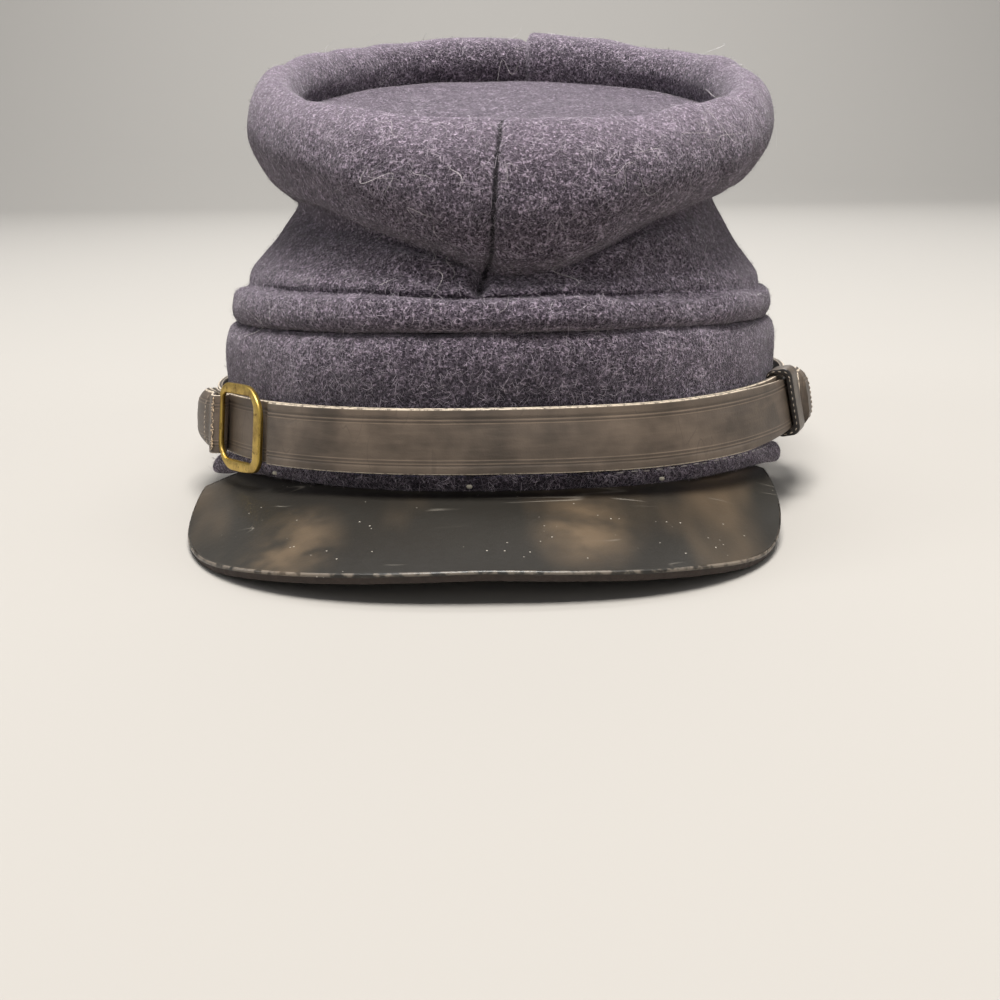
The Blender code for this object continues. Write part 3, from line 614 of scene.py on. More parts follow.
# %% Make the crown
FRONT_CROWDING = 0.30
crown_angle = whole_turn(CROWN_COLUMNS)
crown_angle = crown_angle - FRONT_CROWDING * np.sin(crown_angle)
crown_steps = np.linspace(0, len(CROWN_SECTIONS) - 1, CROWN_ROWS)
plain_crown = crown_points(crown_steps, crown_angle)
crown_normal = normals_of(plain_crown, True)
crown_outer = plain_crown + crown_normal * crown_relief(plain_crown, crown_steps, crown_angle)[..., None]
lining = np.linspace(CROWN_ROWS - 1, 0, LINING_ROWS).astype(int)
crown_inner = plain_crown[lining] - crown_normal[lining] * CROWN_WALL
crown_wall = lay(np.concatenate([crown_outer, crown_inner]))
wall_steps = np.concatenate([crown_steps, crown_steps[lining]])[:, None]
crown_layout = np.stack(np.broadcast_arrays(front_seam(crown_angle, wall_steps), wall_steps), axis=-1)
crown_cloth = make_piece("crown_cloth", crown_wall,
                         grid_quads(len(crown_wall), CROWN_COLUMNS, True, True), crown_wool, crown_layout)
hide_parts("crown_roll", "crown_side", "crown_rim")
print("crown, metres:", crown_wall.reshape(-1, 3).min(0), crown_wall.reshape(-1, 3).max(0))

# %% [markdown]
# ## The sunken top
# The disc is sewn to the crown's last section, below the rim. A round plate would have to be fitted to that
# seam, so the disc is made from the section itself: each ring is the seam's outline drawn in towards the
# middle, with a slight dome and soft waves, and the outermost rings turn down into the seam.

# %% Make the top disc
TOP_WALL, TOP_DOME, TOP_WAVES = 0.0024, 0.0012, 0.0005
TOP_RINGS, TOP_UNDER_RINGS, TOP_EDGE_RINGS = 36, 12, 8
TOP_MIDDLE, TOP_EDGE, TOP_BULGE = 0.002, 0.995, 0.002


def top_points(share, lift):
    """The disc: the top seam's outline drawn towards its middle by share, domed, and raised by lift."""
    seam = crown_points(np.array([len(CROWN_SECTIONS) - 1.0]), crown_angle)[0]
    centre = (seam.min(axis=0) + seam.max(axis=0)) / 2
    points = centre + (seam - centre) * share[:, None, None]
    points[..., 2] += (JOINT + lift[:, None] + TOP_DOME * (1 - share[:, None] ** 2)
                       + TOP_WAVES * soft_waves(points, 0.035, 21) * ramp(lift, TOP_WALL)[:, None])
    return points


edge = np.linspace(0, np.pi / 2, TOP_EDGE_RINGS)[1:]
top_share = np.concatenate([np.linspace(TOP_MIDDLE, TOP_EDGE, TOP_RINGS), TOP_EDGE + TOP_BULGE * np.sin(edge),
                            np.linspace(TOP_EDGE, TOP_MIDDLE, TOP_UNDER_RINGS)])
top_lift = np.concatenate([np.full(TOP_RINGS, TOP_WALL), TOP_WALL * np.cos(edge), np.zeros(TOP_UNDER_RINGS)])
top_grid = lay(top_points(top_share, top_lift))
top_cloth = make_piece("top_cloth", top_grid, grid_quads(len(top_grid), CROWN_COLUMNS, True, True), wool)
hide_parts("crown_top")

# %% [markdown]
# ## The band
# The band is the same wool, cut as a strip and sewn to the crown above and the peak below. Its profile bulges
# slightly and its hem is turned under. Shade is painted on its front, below and round the strap, so its wool
# is darker there: the finish measures the height above the hem from the place on the cap.

# %% Band sections
BAND_WALL, BAND_INNER_EVERY = 0.0028, 6
BAND_SECTIONS = np.array([
    # width front  back   height
    (0.962, 0.971, 0.971, 0.00),
    (0.982, 0.987, 0.990, 0.12),
    (0.997, 0.998, 1.000, 0.45),
    (1.000, 1.000, 1.000, 0.80),
    (0.987, 0.990, 0.992, 0.95),
    (0.956, 0.966, 0.972, 1.00),
])
REST_FROM, REST_BLEND = 0.050, 0.070
BAND_GROOVE, BAND_GROOVE_REACH = 0.0008, 0.0014
BAND_COLUMNS, BAND_ROWS = 460, 60


def hem_height(y):
    """The hem lies on the table at the back, and blends to the level rim further forward."""
    return -(HEM_BACK - y) * np.tan(REST_TILT) * eased(ramp(y - REST_FROM + REST_BLEND, REST_BLEND))


def band_outline(width, front, back, inset, angle):
    """Plan of the band, from shares of its half sizes, drawn in by inset."""
    return outline(width * BAND_HALF_WIDTH - inset, front * BAND_HALF_DEPTH - inset,
                   back * BAND_HALF_DEPTH - inset, BAND_SQUARE, angle)


def band_points(steps, angle, inset):
    """The band's surface: superellipse sections from hem to seam, drawn in by inset for its inner side."""
    width, front, back, height = through(BAND_SECTIONS, steps).T[..., None]
    x, y = filled(*band_outline(width, front, back, inset, angle), angle, steps - len(BAND_SECTIONS) + 1)
    return np.stack([x, y, height * BAND_HEIGHT + hem_height(y) * (1 - height) ** 2], axis=-1)


print("hem's height at the back, metres, before the cap is laid down:", hem_height(HEM_BACK - 0.01))

# %% [markdown]
# The band's outer rows carry the cloth's waves and its seam at the back, and the inner ones are plain. Both
# are stopped at the table, which a soft hem follows.

# %% Make the band
band_angle = whole_turn(BAND_COLUMNS)
band_steps = np.linspace(0, len(BAND_SECTIONS) - 1, BAND_ROWS)
plain_band = band_points(band_steps, band_angle, 0)
band_relief = (0.00045 * soft_waves(plain_band, 0.030, 31)
               + 0.0003 * soft_waves(plain_band * np.array([1.0, 1.0, 0.4]), 0.013, 33))
band_relief -= BAND_GROOVE * near(back_seam(band_angle), BACK_GROOVE_AT, BAND_GROOVE_REACH)
band_relief *= ramp(band_steps)[:, None]
band_outer = plain_band + normals_of(plain_band, True) * band_relief[..., None]
band_inner = band_points(band_steps[::-BAND_INNER_EVERY], band_angle, BAND_WALL)
band_wall = lay(np.concatenate([band_outer, band_inner]))
band_wall[..., 2] = np.maximum(band_wall[..., 2], 0)
# The band's wool has painted shade on its front, below and round the strap.
band_wool = make_wool("band_wool", wear_and_painted_light=True)
band_cloth = make_piece("band_cloth", band_wall, grid_quads(len(band_wall), BAND_COLUMNS, True, True),
                        band_wool)
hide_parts("band")

# %% [markdown]
# ## Fibres
# Felt has a halo: fibres lie flat on it, curl up from it and stand out against the light at its edges. Hair
# particles would do this too, but they don't leave the file as plain faces. So each fibre is a narrow ribbon
# of a few quads, along a curve that leaves the cloth, bends to one side and comes back. All the ribbons on a
# cloth are one mesh, with their roots spread evenly by area.

# %% Ribbon fibres
FIBRE_FLOOR, FIBRE_ROOT = 0.0002, 0.00006


def scattered(grid, wrap, count, random):
    """Points spread evenly over a grid's area, with the normal and one tangent of each one's quad."""
    rows, columns = grid.shape[:2]
    corners = grid.reshape(-1, 3)[grid_quads(rows, columns, False, wrap)]
    normal = np.cross(corners[:, 1] - corners[:, 0], corners[:, 3] - corners[:, 0])
    area = np.linalg.norm(normal, axis=1)
    chosen = random.choice(len(area), size=count, p=area / area.sum())
    s, t = random.random((2, count, 1))
    a, b, c, d = (corners[chosen, corner] for corner in range(4))
    place = (a * (1 - s) + b * s) * (1 - t) + (d * (1 - s) + c * s) * t
    return place, normal[chosen] / area[chosen, None], unit(b - a)


def ribbons(name, grid, count, lengths, width, lift, curl, material, seed, segments):
    """Fibres as ribbons: each runs along the cloth, curls to one side with the square of the way along it,
    and lifts off the cloth by the sine of half a turn on the way."""
    random = np.random.default_rng(seed)
    root, normal, tangent = scattered(grid, True, count, random)
    turn = random.uniform(0, 2 * np.pi, (count, 1))
    side = np.cross(normal, tangent)
    run = tangent * np.cos(turn) + side * np.sin(turn)
    side = np.cross(normal, run)
    length = random.uniform(*lengths, (count, 1, 1))
    bend = random.normal(0, curl, (count, 1, 1))
    wave = random.normal(0, curl / 2, (count, 1, 1))
    rise = random.uniform(0.1, 1.0, (count, 1, 1)) ** 2 * lift
    tip = random.uniform(-0.2, 1.0, (count, 1, 1)) * rise
    t = np.linspace(0, 1, segments + 1)[None, :, None]
    line = (root[:, None] + run[:, None] * length * (t - 0.3 * np.abs(bend) * t ** 2)
            + side[:, None] * length * (bend * t ** 2 + wave * np.sin(2 * np.pi * t))
            + normal[:, None] * (rise * np.sin(np.pi * t) + tip * t - FIBRE_ROOT))
    across = np.cross(normal[:, None], unit(np.gradient(line, axis=1)))
    half = width / 2 * random.uniform(0.6, 1.3, (count, 1, 1)) * (1 - 0.75 * np.abs(2 * t - 1) ** 3)
    points = np.stack([line - across * half, line + across * half], axis=2)
    points[..., 2] = np.maximum(points[..., 2], FIBRE_FLOOR)
    first = (np.arange(count) * 2 * (segments + 1))[:, None] + 2 * np.arange(segments)[None]
    quads = np.stack([first, first + 1, first + 3, first + 2], axis=-1).reshape(-1, 4)
    piece = make_piece(name, points, quads[:, ::-1], material, outward=False)
    return piece


print("fibres end at least", FIBRE_FLOOR, "metres above the table")

# %% [markdown]
# The crown and the band have two layers: pale fibres that lie close, and a shorter dark nap that stands up
# between them. The top shows its fibres only at a low angle, so they stand higher, and a few long stray
# hairs have been caught on the crown. The colours are a little darker where the fibres mat together.

# %% Lay the fibres
def make_fibre_finish(name, colour):
    """Fibres of one colour, darker in patches."""
    material, shader, wire = start_finish(name, colour, 0.6, Sheen_Weight=0.4)
    shade = noise(place_of(wire), 260, 1.0).smooth(0.3, 0.7)
    feed(shader, Base_Color=mixed(shade, scaled(colour, 0.45), colour))
    return material


fibre_finish = make_fibre_finish("wool_fibre", (0.50, 0.43, 0.49))
dark_fibre_finish = make_fibre_finish("dark_fibre", (0.085, 0.068, 0.085))
hair_finish = make_fibre_finish("pale_hair", (0.72, 0.66, 0.66))
outer_crown, outer_band, outer_top = lay(crown_outer), lay(band_outer), top_grid[:TOP_RINGS]
FIBRE_LENGTHS, NAP_LENGTHS = (0.0012, 0.0042), (0.0008, 0.0022)
FIBRE_LAYERS = (
    # name, cloth, how many, lengths, width, lift, curl, finish, seed, segments
    ("crown_fibres", outer_crown, 19000, FIBRE_LENGTHS, 0.00007, 0.00035, 0.35, fibre_finish, 101, 4),
    ("crown_nap", outer_crown, 15000, NAP_LENGTHS, 0.00009, 0.0008, 0.30, dark_fibre_finish, 102, 3),
    ("band_fibres", outer_band, 8000, FIBRE_LENGTHS, 0.00007, 0.00035, 0.35, fibre_finish, 103, 4),
    ("band_nap", outer_band, 8000, NAP_LENGTHS, 0.00009, 0.0007, 0.30, dark_fibre_finish, 104, 3),
    ("top_fibres", outer_top, 6500, (0.0010, 0.0036), 0.00008, 0.0008, 0.45, fibre_finish, 105, 4),
    ("stray_hairs", outer_crown, 220, (0.004, 0.012), 0.00008, 0.0010, 0.6, hair_finish, 106, 14),
)
for layer in FIBRE_LAYERS:
    ribbons(*layer)

# %% [markdown]
# ## The peak
# The peak is one thick piece of harness leather, painted black on top and left rough below. A flat cut-out
# with a bend modifier would be quick, but the real one droops more at its corners. So its upper face is
# drawn straight from the band's hem out to the edge, and each line drops by its own amount.

# %% Peak's upper face
PEAK_HALF_WIDTH, PEAK_REACH, PEAK_ROOT = 0.0785, 0.0755, 0.0620
PEAK_DROP, PEAK_WALL, PEAK_SQUARE = 0.0145, 0.0024, 2.6
PEAK_TUCK, PEAK_SHIFT, PEAK_SKEW = 0.0022, -0.0063, 0.020
PEAK_ROOT_TURN, PEAK_SPREAD, PEAK_BOW = np.radians(-1.4), np.radians(56), 0.07
PEAK_CORNER_TRIM, PEAK_CORNER_FROM, PEAK_CROWDING = 0.075, 0.86, 1.25
PEAK_EDGE = np.array([
    # way  left   right
    (0.00, 0.770, 0.770),
    (0.35, 0.900, 0.900),
    (0.65, 1.000, 0.980),
    (0.85, 0.840, 0.600),
    (1.00, 0.420, 0.180),
])
PEAK_COLUMNS, PEAK_ROWS = 320, 60


def peak_points(way, out):
    """The peak's upper face: straight lines from the hem's curve out to the edge's, dropping on the way."""
    turn = signed_power(way, PEAK_CROWDING)
    root_x, root_y = band_outline(*BAND_SECTIONS[0, :3], PEAK_TUCK, turn * PEAK_SPREAD + PEAK_ROOT_TURN)
    edge_x, edge_y = outline(PEAK_HALF_WIDTH, PEAK_REACH, PEAK_REACH, PEAK_SQUARE, turn * np.pi / 2)
    edge_y = edge_y - PEAK_ROOT - PEAK_SKEW * edge_x
    edge_x = edge_x + PEAK_SHIFT
    fine = through(PEAK_EDGE, np.linspace(0, len(PEAK_EDGE) - 1, 33))
    left, right = (np.interp(np.abs(turn), fine[:, 0], fine[:, side]) for side in (1, 2))
    drop = np.where(turn < 0, left, right) * PEAK_DROP
    out = out[:, None] * (1 - PEAK_CORNER_TRIM * ramp(np.abs(way) - PEAK_CORNER_FROM, 0.14) ** 2)
    z = -JOINT - (drop - JOINT) * (out - PEAK_BOW * np.sin(np.pi * out))
    return np.stack([root_x + (edge_x - root_x) * out, root_y + (edge_y - root_y) * out, z], axis=-1)


peak_way = np.linspace(-1, 1, PEAK_COLUMNS)
peak_out = np.linspace(0, 1, PEAK_ROWS) ** 0.9
upper = peak_points(peak_way, peak_out)
peak_up = normals_of(upper, False)
peak_up = peak_up * np.sign(peak_up[..., 2:])
peak_waves = 0.0003 * soft_waves(upper, 0.03, 41) * np.sin(np.pi * peak_out)[:, None]
upper = upper + peak_up * peak_waves[..., None]
print("peak's drop along its middle, metres:", np.ptp(upper[:, PEAK_COLUMNS // 2, 2]))

# %% [markdown]
# The profile goes out along the top, over a small rounded lip, down the cut edge and back underneath, so one
# grid closes the peak all round. The cut edge is raw leather, which is never quite straight.

# %% Peak's edge and underside
PEAK_LIP, LIP_ROWS, UNDER_ROWS = 0.0006, 6, 24
EDGE_WAVES, UNDER_EDGE = 0.00012, 0.985
edge_up = peak_up[-1]
edge_out = unit(np.cross(np.gradient(upper[-1], axis=0), edge_up))
edge_out *= np.sign((edge_out * (upper[-1] - upper[-2])).sum(-1, keepdims=True))
lip = np.linspace(0, np.pi / 2, LIP_ROWS + 1)[1:, None, None]
rounded = upper[-1] + PEAK_LIP * (edge_up * (np.cos(lip) - 1) + edge_out * (np.sin(lip) - 1))
cut = upper[-1] - edge_up * np.linspace(PEAK_LIP, PEAK_WALL, LIP_ROWS + 1)[1:, None, None]
cut = cut + EDGE_WAVES * soft_waves(upper[-1], 0.0016, 43)[:, None] * edge_out
under_rows = np.linspace(PEAK_ROWS - 1, 0, UNDER_ROWS).astype(int)
under = peak_points(peak_way, np.linspace(UNDER_EDGE, 0, UNDER_ROWS)) - peak_up[under_rows] * PEAK_WALL
upper_trim = upper.copy()
upper_trim[-1] = upper[-1] - edge_out * PEAK_LIP
profile = np.concatenate([upper_trim, rounded, cut, under])
peak_grid = lay(profile)
peak_grid[..., 2] = np.maximum(peak_grid[..., 2], 0)

# %% [markdown]
# The paint is satin black with a brown warmth where it is worn thin, specks of lint and a few hairline
# scratches. Where the layout says that a point is on the lip, a pale line is painted as the highlight of its
# rounded edge, and below it the cut edge and the flesh side are raw dark leather. The two large brown spots
# are painted reflections in the glossy paint.

# %% Peak finish
PAINT, PAINT_WEAR_AND_REFLECTION, LINT = (0.017, 0.0150, 0.0120), (0.100, 0.070, 0.043), (0.42, 0.38, 0.32)
# The lip's pale colour is a painted highlight of its rounded edge.
LIP_HIGHLIGHT, FLESH_DARK, FLESH_PALE = (0.40, 0.33, 0.26), (0.014, 0.011, 0.010), (0.058, 0.040, 0.031)
# Places of the two painted reflections in the paint, and how far each spreads.
PAINTED_REFLECTION_SPOTS, SPOT_REACH = ((-0.052, -0.100, 0.008), (0.017, -0.098, 0.008)), (0.002, 0.016)
LIP_SPAN = (0.985, 1.0, 1.005, 1.03)


def make_peak_finish():
    """Painted leather: paint worn brown in random patches, two brown painted reflections, lint and scratches,
    a pale painted highlight on the lip, and raw flesh below.
    """
    material, shader, wire = start_finish("painted_leather", (0.03, 0.028, 0.026), 0.34,
                                          Specular_IOR_Level=0.42)
    place = place_of(wire)
    over, _ = layout_of(wire)
    # Random brown patches where the paint is worn thin; the painted reflections are added to them below.
    wear_and_painted_light = noise(stretched(place, (1.0, 0.35, 1.0)), 26, 3.0, 0.55).smooth(0.52, 0.84)
    # Painted reflection: two brown spots stand for the room reflected in the glossy paint.
    for middle in PAINTED_REFLECTION_SPOTS:
        away = wire.node("ShaderNodeVectorMath", {0: stretched(place, (1.0, 0.6, 1.0)),
                                                  1: (middle[0], 0.6 * middle[1], middle[2])},
                         {"operation": "DISTANCE"}, output=1)
        wear_and_painted_light = wear_and_painted_light + (1 - away.smooth(*SPOT_REACH)) * noise(place, 90, 2.0).smooth(0.25, 0.65)
    grain = noise(place, 1500, 2.0, 0.6)
    pebble = noise(place, 420, 3.0, 0.6)
    paint = mixed(wear_and_painted_light.clamped(), PAINT, PAINT_WEAR_AND_REFLECTION)
    specks = wire.node("ShaderNodeTexVoronoi", {"Vector": place, "Scale": 330.0})
    lint = (1 - specks.smooth(0.05, 0.09)) * noise(place, 60, 1.0).smooth(0.47, 0.60)
    scratch = curly_lines(stretched(place, (0.07, 1.0, 1.0), (0, 0, 0.14)), 110, 110, 0.02, 0.0)
    scratch = scratch * noise(place, 45, 2.0).smooth(0.54, 0.64)
    paint = mixed((lint * 0.8 + scratch * 0.35).clamped(), paint, LINT)
    # Painted highlight: a broken pale line along the rounded lip.
    lip_highlight = over.within(*LIP_SPAN) * noise(place, 420, 2.0).smooth(0.38, 0.55)
    raw = over.smooth(1.03, 1.07)
    flesh = mixed(noise(place, 700, 3.0, 0.7), FLESH_DARK, FLESH_PALE)
    colour = mixed(raw, mixed(lip_highlight * 0.30, paint, LIP_HIGHLIGHT), flesh)
    rough = 0.27 + grain * 0.10 + pebble * 0.08 + raw * 0.45
    height = (grain * 0.3 + pebble * 0.5) * (1 - raw) + noise(place, 900, 3.0, 0.7) * raw * 2.0 + lint * 0.8
    feed(shader, Base_Color=colour, Roughness=rough, Normal=bumped(height, 0.00010, 0.7))
    return material


peak_finish = make_peak_finish()
print(peak_finish.name, "has", len(peak_finish.node_tree.nodes), "nodes")

# %% [markdown]
# The grid is closed round the profile, and its two open ends are closed by quads between the upper rows and
# the rows below them. The layout counts from 0 at the root to 1 at the lip, and goes on to 2 underneath.

# %% Make the peak
over = np.concatenate([peak_out, np.full(LIP_ROWS, 1.01), np.full(LIP_ROWS, 1.10),
                       np.linspace(1.2, 2.0, UNDER_ROWS)])
peak_layout = np.stack(np.broadcast_arrays(over[:, None], peak_way[None]), axis=-1)
side_rows = np.arange(PEAK_ROWS)
pairs = np.linspace(len(profile) - 1, PEAK_ROWS + 2 * LIP_ROWS - 1, PEAK_ROWS).astype(int)


def end_quads(column):
    """Quads that close the peak's end at one column."""
    corners = side_rows[:-1], side_rows[1:], pairs[1:], pairs[:-1]
    return np.stack(corners, axis=-1) * PEAK_COLUMNS + column


peak_quads = np.concatenate([grid_quads(len(profile), PEAK_COLUMNS, True, False), end_quads(0)[:, ::-1],
                             end_quads(PEAK_COLUMNS - 1)])
peak_leather = make_piece("peak_leather", peak_grid, peak_quads, peak_finish, peak_layout)
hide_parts("peak")

# %% [markdown]
# ## The chin strap
# A strap is a strip on edge that follows the band. Its place is given by three numbers: the distance along
# the band from the front, how far out from the cloth, and the height from the strap's middle. So a profile
# of the strip, a flat rectangle with rounded edges and tooled grooves, is carried along a path of the
# first two, and one function turns all three into places.

# %% Strap sizes
STRAP_WIDTH, STRAP_WALL, STRAP_LEVEL = 0.0159, 0.0015, 0.0123
STRAP_LEAN, STRAP_LIFT, STRAP_LIFT_FROM, STRAP_LIFT_OVER = 0.005, 0.0028, 0.030, 0.055
UNDER_REACH, OVER_START, TAB_REACH, TAB_TIP = 0.1540, 0.0635, 0.1240, 0.0085
OVER_TAPER, OVER_TAPER_FROM, OVER_TAPER_OVER = 0.16, 0.062, 0.030
BUTTON_AT, BUCKLE_BAR_AT, KEEPER_AT, KEEPER_TAB_START = 0.1475, 0.0868, 0.0930, 0.1000
KEEPER_WALL, KEEPER_THICK, KEEPER_EASE = 0.00105, 0.0019, 0.0005
KEEPER_WIDTH, KEEPER_CORNER = 0.0090, 0.0024
FOLD_WALL, FOLD_SLOPE, FOLD_INNER_END = 0.0012, 0.0080, 0.1120
BUCKLE_WIDTH, BUCKLE_HEIGHT, BUCKLE_WALL, BUCKLE_OPENING = 0.0232, 0.0235, 0.0014, 0.0176
BUCKLE_OUTER_BAR, BUCKLE_LOOP_BAR = 0.0040, 0.0014
BUCKLE_CORNERS = (0.0085, 0.0050, 0.0088, 0.0034)
BUCKLE_HOLE_CORNERS = (0.0036, 0.0020, 0.0044, 0.0018)
BUCKLE_STAND, BUCKLE_BAR_EASE = 0.0005, 0.0005
UNDER_LAYER = JOINT + KEEPER_WALL + KEEPER_EASE
OVER_LAYER = UNDER_LAYER + STRAP_WALL + JOINT
KEEPER_TAB_LAYER = OVER_LAYER + STRAP_WALL + JOINT
FOLD_INNER = OVER_LAYER + FOLD_WALL / 2
BUCKLE_BAR_OUT = OVER_LAYER + FOLD_WALL + BUCKLE_BAR_EASE + BUCKLE_LOOP_BAR / 2
FOLD_RADIUS = BUCKLE_BAR_OUT - FOLD_INNER
FOLD_OUTER = OVER_LAYER + FOLD_WALL + JOINT + FOLD_WALL / 2
BUCKLE_FRONT_OUT = OVER_LAYER + BUCKLE_WALL / 2 + BUCKLE_STAND
STRAP_FLARE = np.array([
    # way    slope
    (-1.00, 0.00), (-0.93, 0.00), (-0.75, 0.08), (-0.50, 0.10), (0.00, 0.05),
    (0.60, 0.19), (0.78, 0.15), (0.93, 0.00), (1.00, 0.00),
])
print("both layers of the strap lie", UNDER_LAYER, "to", OVER_LAYER + STRAP_WALL, "metres out from the band")

# %% [markdown]
# The band's outline is measured once, as a table of places against the distance walked along it, and each
# place on the strap is looked up there. The strap flares out a little at its lower edge, as a straight
# strip does on a band that isn't quite upright.

# %% Follow the band
COURSE_POINTS = 2881


def walked(points):
    """The distance walked along a line of points, up to each of them."""
    return np.concatenate([[0], np.cumsum(np.linalg.norm(np.diff(points, axis=0), axis=1))])


course = np.stack(band_outline(1, 1, 1, 0, np.linspace(-np.pi, np.pi, COURSE_POINTS)), axis=-1)
course_far = walked(course)
course_far -= course_far[COURSE_POINTS // 2]
course_run = unit(np.gradient(course, axis=0))


def strap_height(x):
    """Height of the strap's middle: nearly level, and lifted towards the keeper."""
    return (STRAP_LEVEL + STRAP_LEAN * x
            + STRAP_LIFT * ramp(x - STRAP_LIFT_FROM, STRAP_LIFT_OVER) ** 2)


def on_strap(distance, out, height):
    """Places at a distance along the band, out from it, and up the strap, whose lower edge flares out."""
    flare = np.interp(distance / BUTTON_AT, *STRAP_FLARE.T)
    out = out + flare * (STRAP_WIDTH / 2 - height)
    x, y, run_x, run_y = (np.interp(distance, course_far, column) for column in (*course.T, *course_run.T))
    size = np.hypot(run_x, run_y)
    x, y = x + run_y / size * out, y - run_x / size * out
    return np.stack([x, y, strap_height(x) + height], axis=-1)


def strap_axes(distance, out):
    """A place on the strap's middle line, and its directions along, up across the face, and outwards."""
    step = JOINT * np.array([-1, 0, 1])
    line = on_strap(distance + step, np.full(3, out), np.zeros(3))
    edges = on_strap(np.full(2, distance), np.full(2, out), np.array([-1, 1]) * STRAP_WIDTH / 2)
    along = unit(line[2] - line[0])
    outward = unit(np.cross(along, edges[1] - edges[0]))
    return line[1], along, np.cross(outward, along), outward


print("once round the band, metres:", course_far[-1] - course_far[0])

# %% [markdown]
# The strip's profile starts at the middle of its back, goes round the lower edge, up the face and back
# over the upper edge. Two tooled lines run along the face inside each edge, as shallow grooves. The path's
# own normal carries the profile, so the same function makes a straight strip and one folded round a bar.

# %% Strip function
PROFILE_STEPS = 88
GROOVE_DEPTH, GROOVE_WIDTH = 0.00016, 0.00022
GROOVES, STRIP_SQUARE = (0.0022, 0.0031), 0.14


def strip_profile(thickness, half, grooves, dome):
    """Around the strip, as height and depth: nearly a rectangle, its face domed by one less the fourth
    power of the height's share."""
    turn = whole_turn(PROFILE_STEPS) + np.pi
    height = half[:, None] * signed_power(np.sin(turn), STRIP_SQUARE * 1.9)
    depth = thickness[:, None] / 2 * signed_power(np.cos(turn), STRIP_SQUARE)
    inside = half[:, None] - np.abs(height)
    for place in grooves:
        depth = depth - GROOVE_DEPTH * near(inside, place, GROOVE_WIDTH) * (np.cos(turn) > 0.3)
    rounded = 1 - (height / half[:, None]) ** 4
    depth = depth + dome[:, None] * rounded * np.clip(np.cos(turn), 0, 1) ** STRIP_SQUARE
    lengths = np.hypot(np.diff(height, axis=1), np.diff(depth, axis=1))
    around = np.concatenate([np.zeros((len(half), 1)), np.cumsum(lengths, axis=1)], axis=1)
    return height, depth, around - around[:, PROFILE_STEPS // 2, None]


def strip(name, path, half, thickness, material, grooves=GROOVES, dome=0.0):
    """Carry the profile along a path of (distance, out), each ring offset along the path's normal."""
    run = unit(np.gradient(path, axis=0))
    even = np.zeros(len(path))
    height, depth, around = strip_profile(thickness + even, half, grooves, dome + even)
    distance = path[:, :1] - run[:, 1:] * depth
    out = path[:, 1:] + run[:, :1] * depth
    rings = [(distance, out, height, around)]
    for end in (0, -1):
        cap = [np.full_like(height[:1], value) for value in (
            distance[end].mean(), out[end].mean(), 0, (STRAP_WIDTH + STRAP_WALL) / 2)]
        rings = [cap] + rings if end == 0 else rings + [cap]
    distance, out, height, around = (np.concatenate([ring[part] for ring in rings]) for part in range(4))
    points = lay(on_strap(distance, out, height))
    layout = np.stack([distance, around], axis=-1)
    return make_piece(name, points, grid_quads(len(points), PROFILE_STEPS, False, True), material, layout)


print("tooled lines, metres in from each edge:", GROOVES)

# %% [markdown]
# The leather's ends are cut round, and the two sewn tabs bulge in their middle. Both are given as a number at
# each distance along the strap, which the strip function takes as it stands.

# %% Tips and domes
TAB_DOME, TAB_DOME_FROM, TAB_ROUND, FOLD_BACK = 0.0027, 0.0905, 0.0190, 0.0022
TIP_STEPS, TIP_BLUNT = 16, 0.985


def rounded_half(distance, tip, turn):
    """Half the strip's width along it, narrowing to a round end over the length turn before the tip."""
    into = np.clip((np.abs(distance) - (tip - turn)) / turn, 0, TIP_BLUNT)
    return STRAP_WIDTH / 2 * np.sqrt(1 - into ** 2)


def tab_dome(distance):
    """How far a sewn tab's face stands up along its middle line: most in its middle, none at its ends."""
    share = ramp(np.abs(distance) - TAB_DOME_FROM, TAB_REACH - TAB_DOME_FROM)
    return TAB_DOME * np.sin(np.pi * share) ** 0.8


def with_tip(start, tip, count):
    """Distances from start to tip, crowding towards a rounded tip."""
    direction = np.sign(tip - start)
    turn = TAB_TIP * np.cos(np.linspace(np.pi / 2, 0, TIP_STEPS)[1:])
    return np.concatenate([np.linspace(start, tip - direction * TAB_TIP, count),
                           tip - direction * (TAB_TIP - turn)])


def level_path(way, layer):
    """A path that stays in one layer, half a strap's thickness out from the layer's inner face."""
    return np.column_stack([way, np.full(len(way), layer + STRAP_WALL / 2)])


print("height of a sewn tab's dome, metres:", tab_dome((TAB_DOME_FROM + TAB_REACH) / 2))

# %% [markdown]
# The strap's leather is dyed a dark brown that has gone grey with handling: satin, finely grained, with
# scratches and a few creases across. Its cut edges were never dyed as dark, so along the top and bottom a
# pale line shows, and the tooled lines have caught some polish.

# %% Strap finish
STRAP_BASE, STRAP_RUB, CUT_EDGE = (0.050, 0.037, 0.027), (0.125, 0.093, 0.068), (0.72, 0.61, 0.47)
TOOLED_REACH, POLISH_SHIFT, POLISH_REACH = 0.00030, 0.00040, 0.00022
FRONT_CORNER, BACK_CORNER = (0.00012, 0.00010, 0.00042), (0.00135, 0.00008, 0.00036)


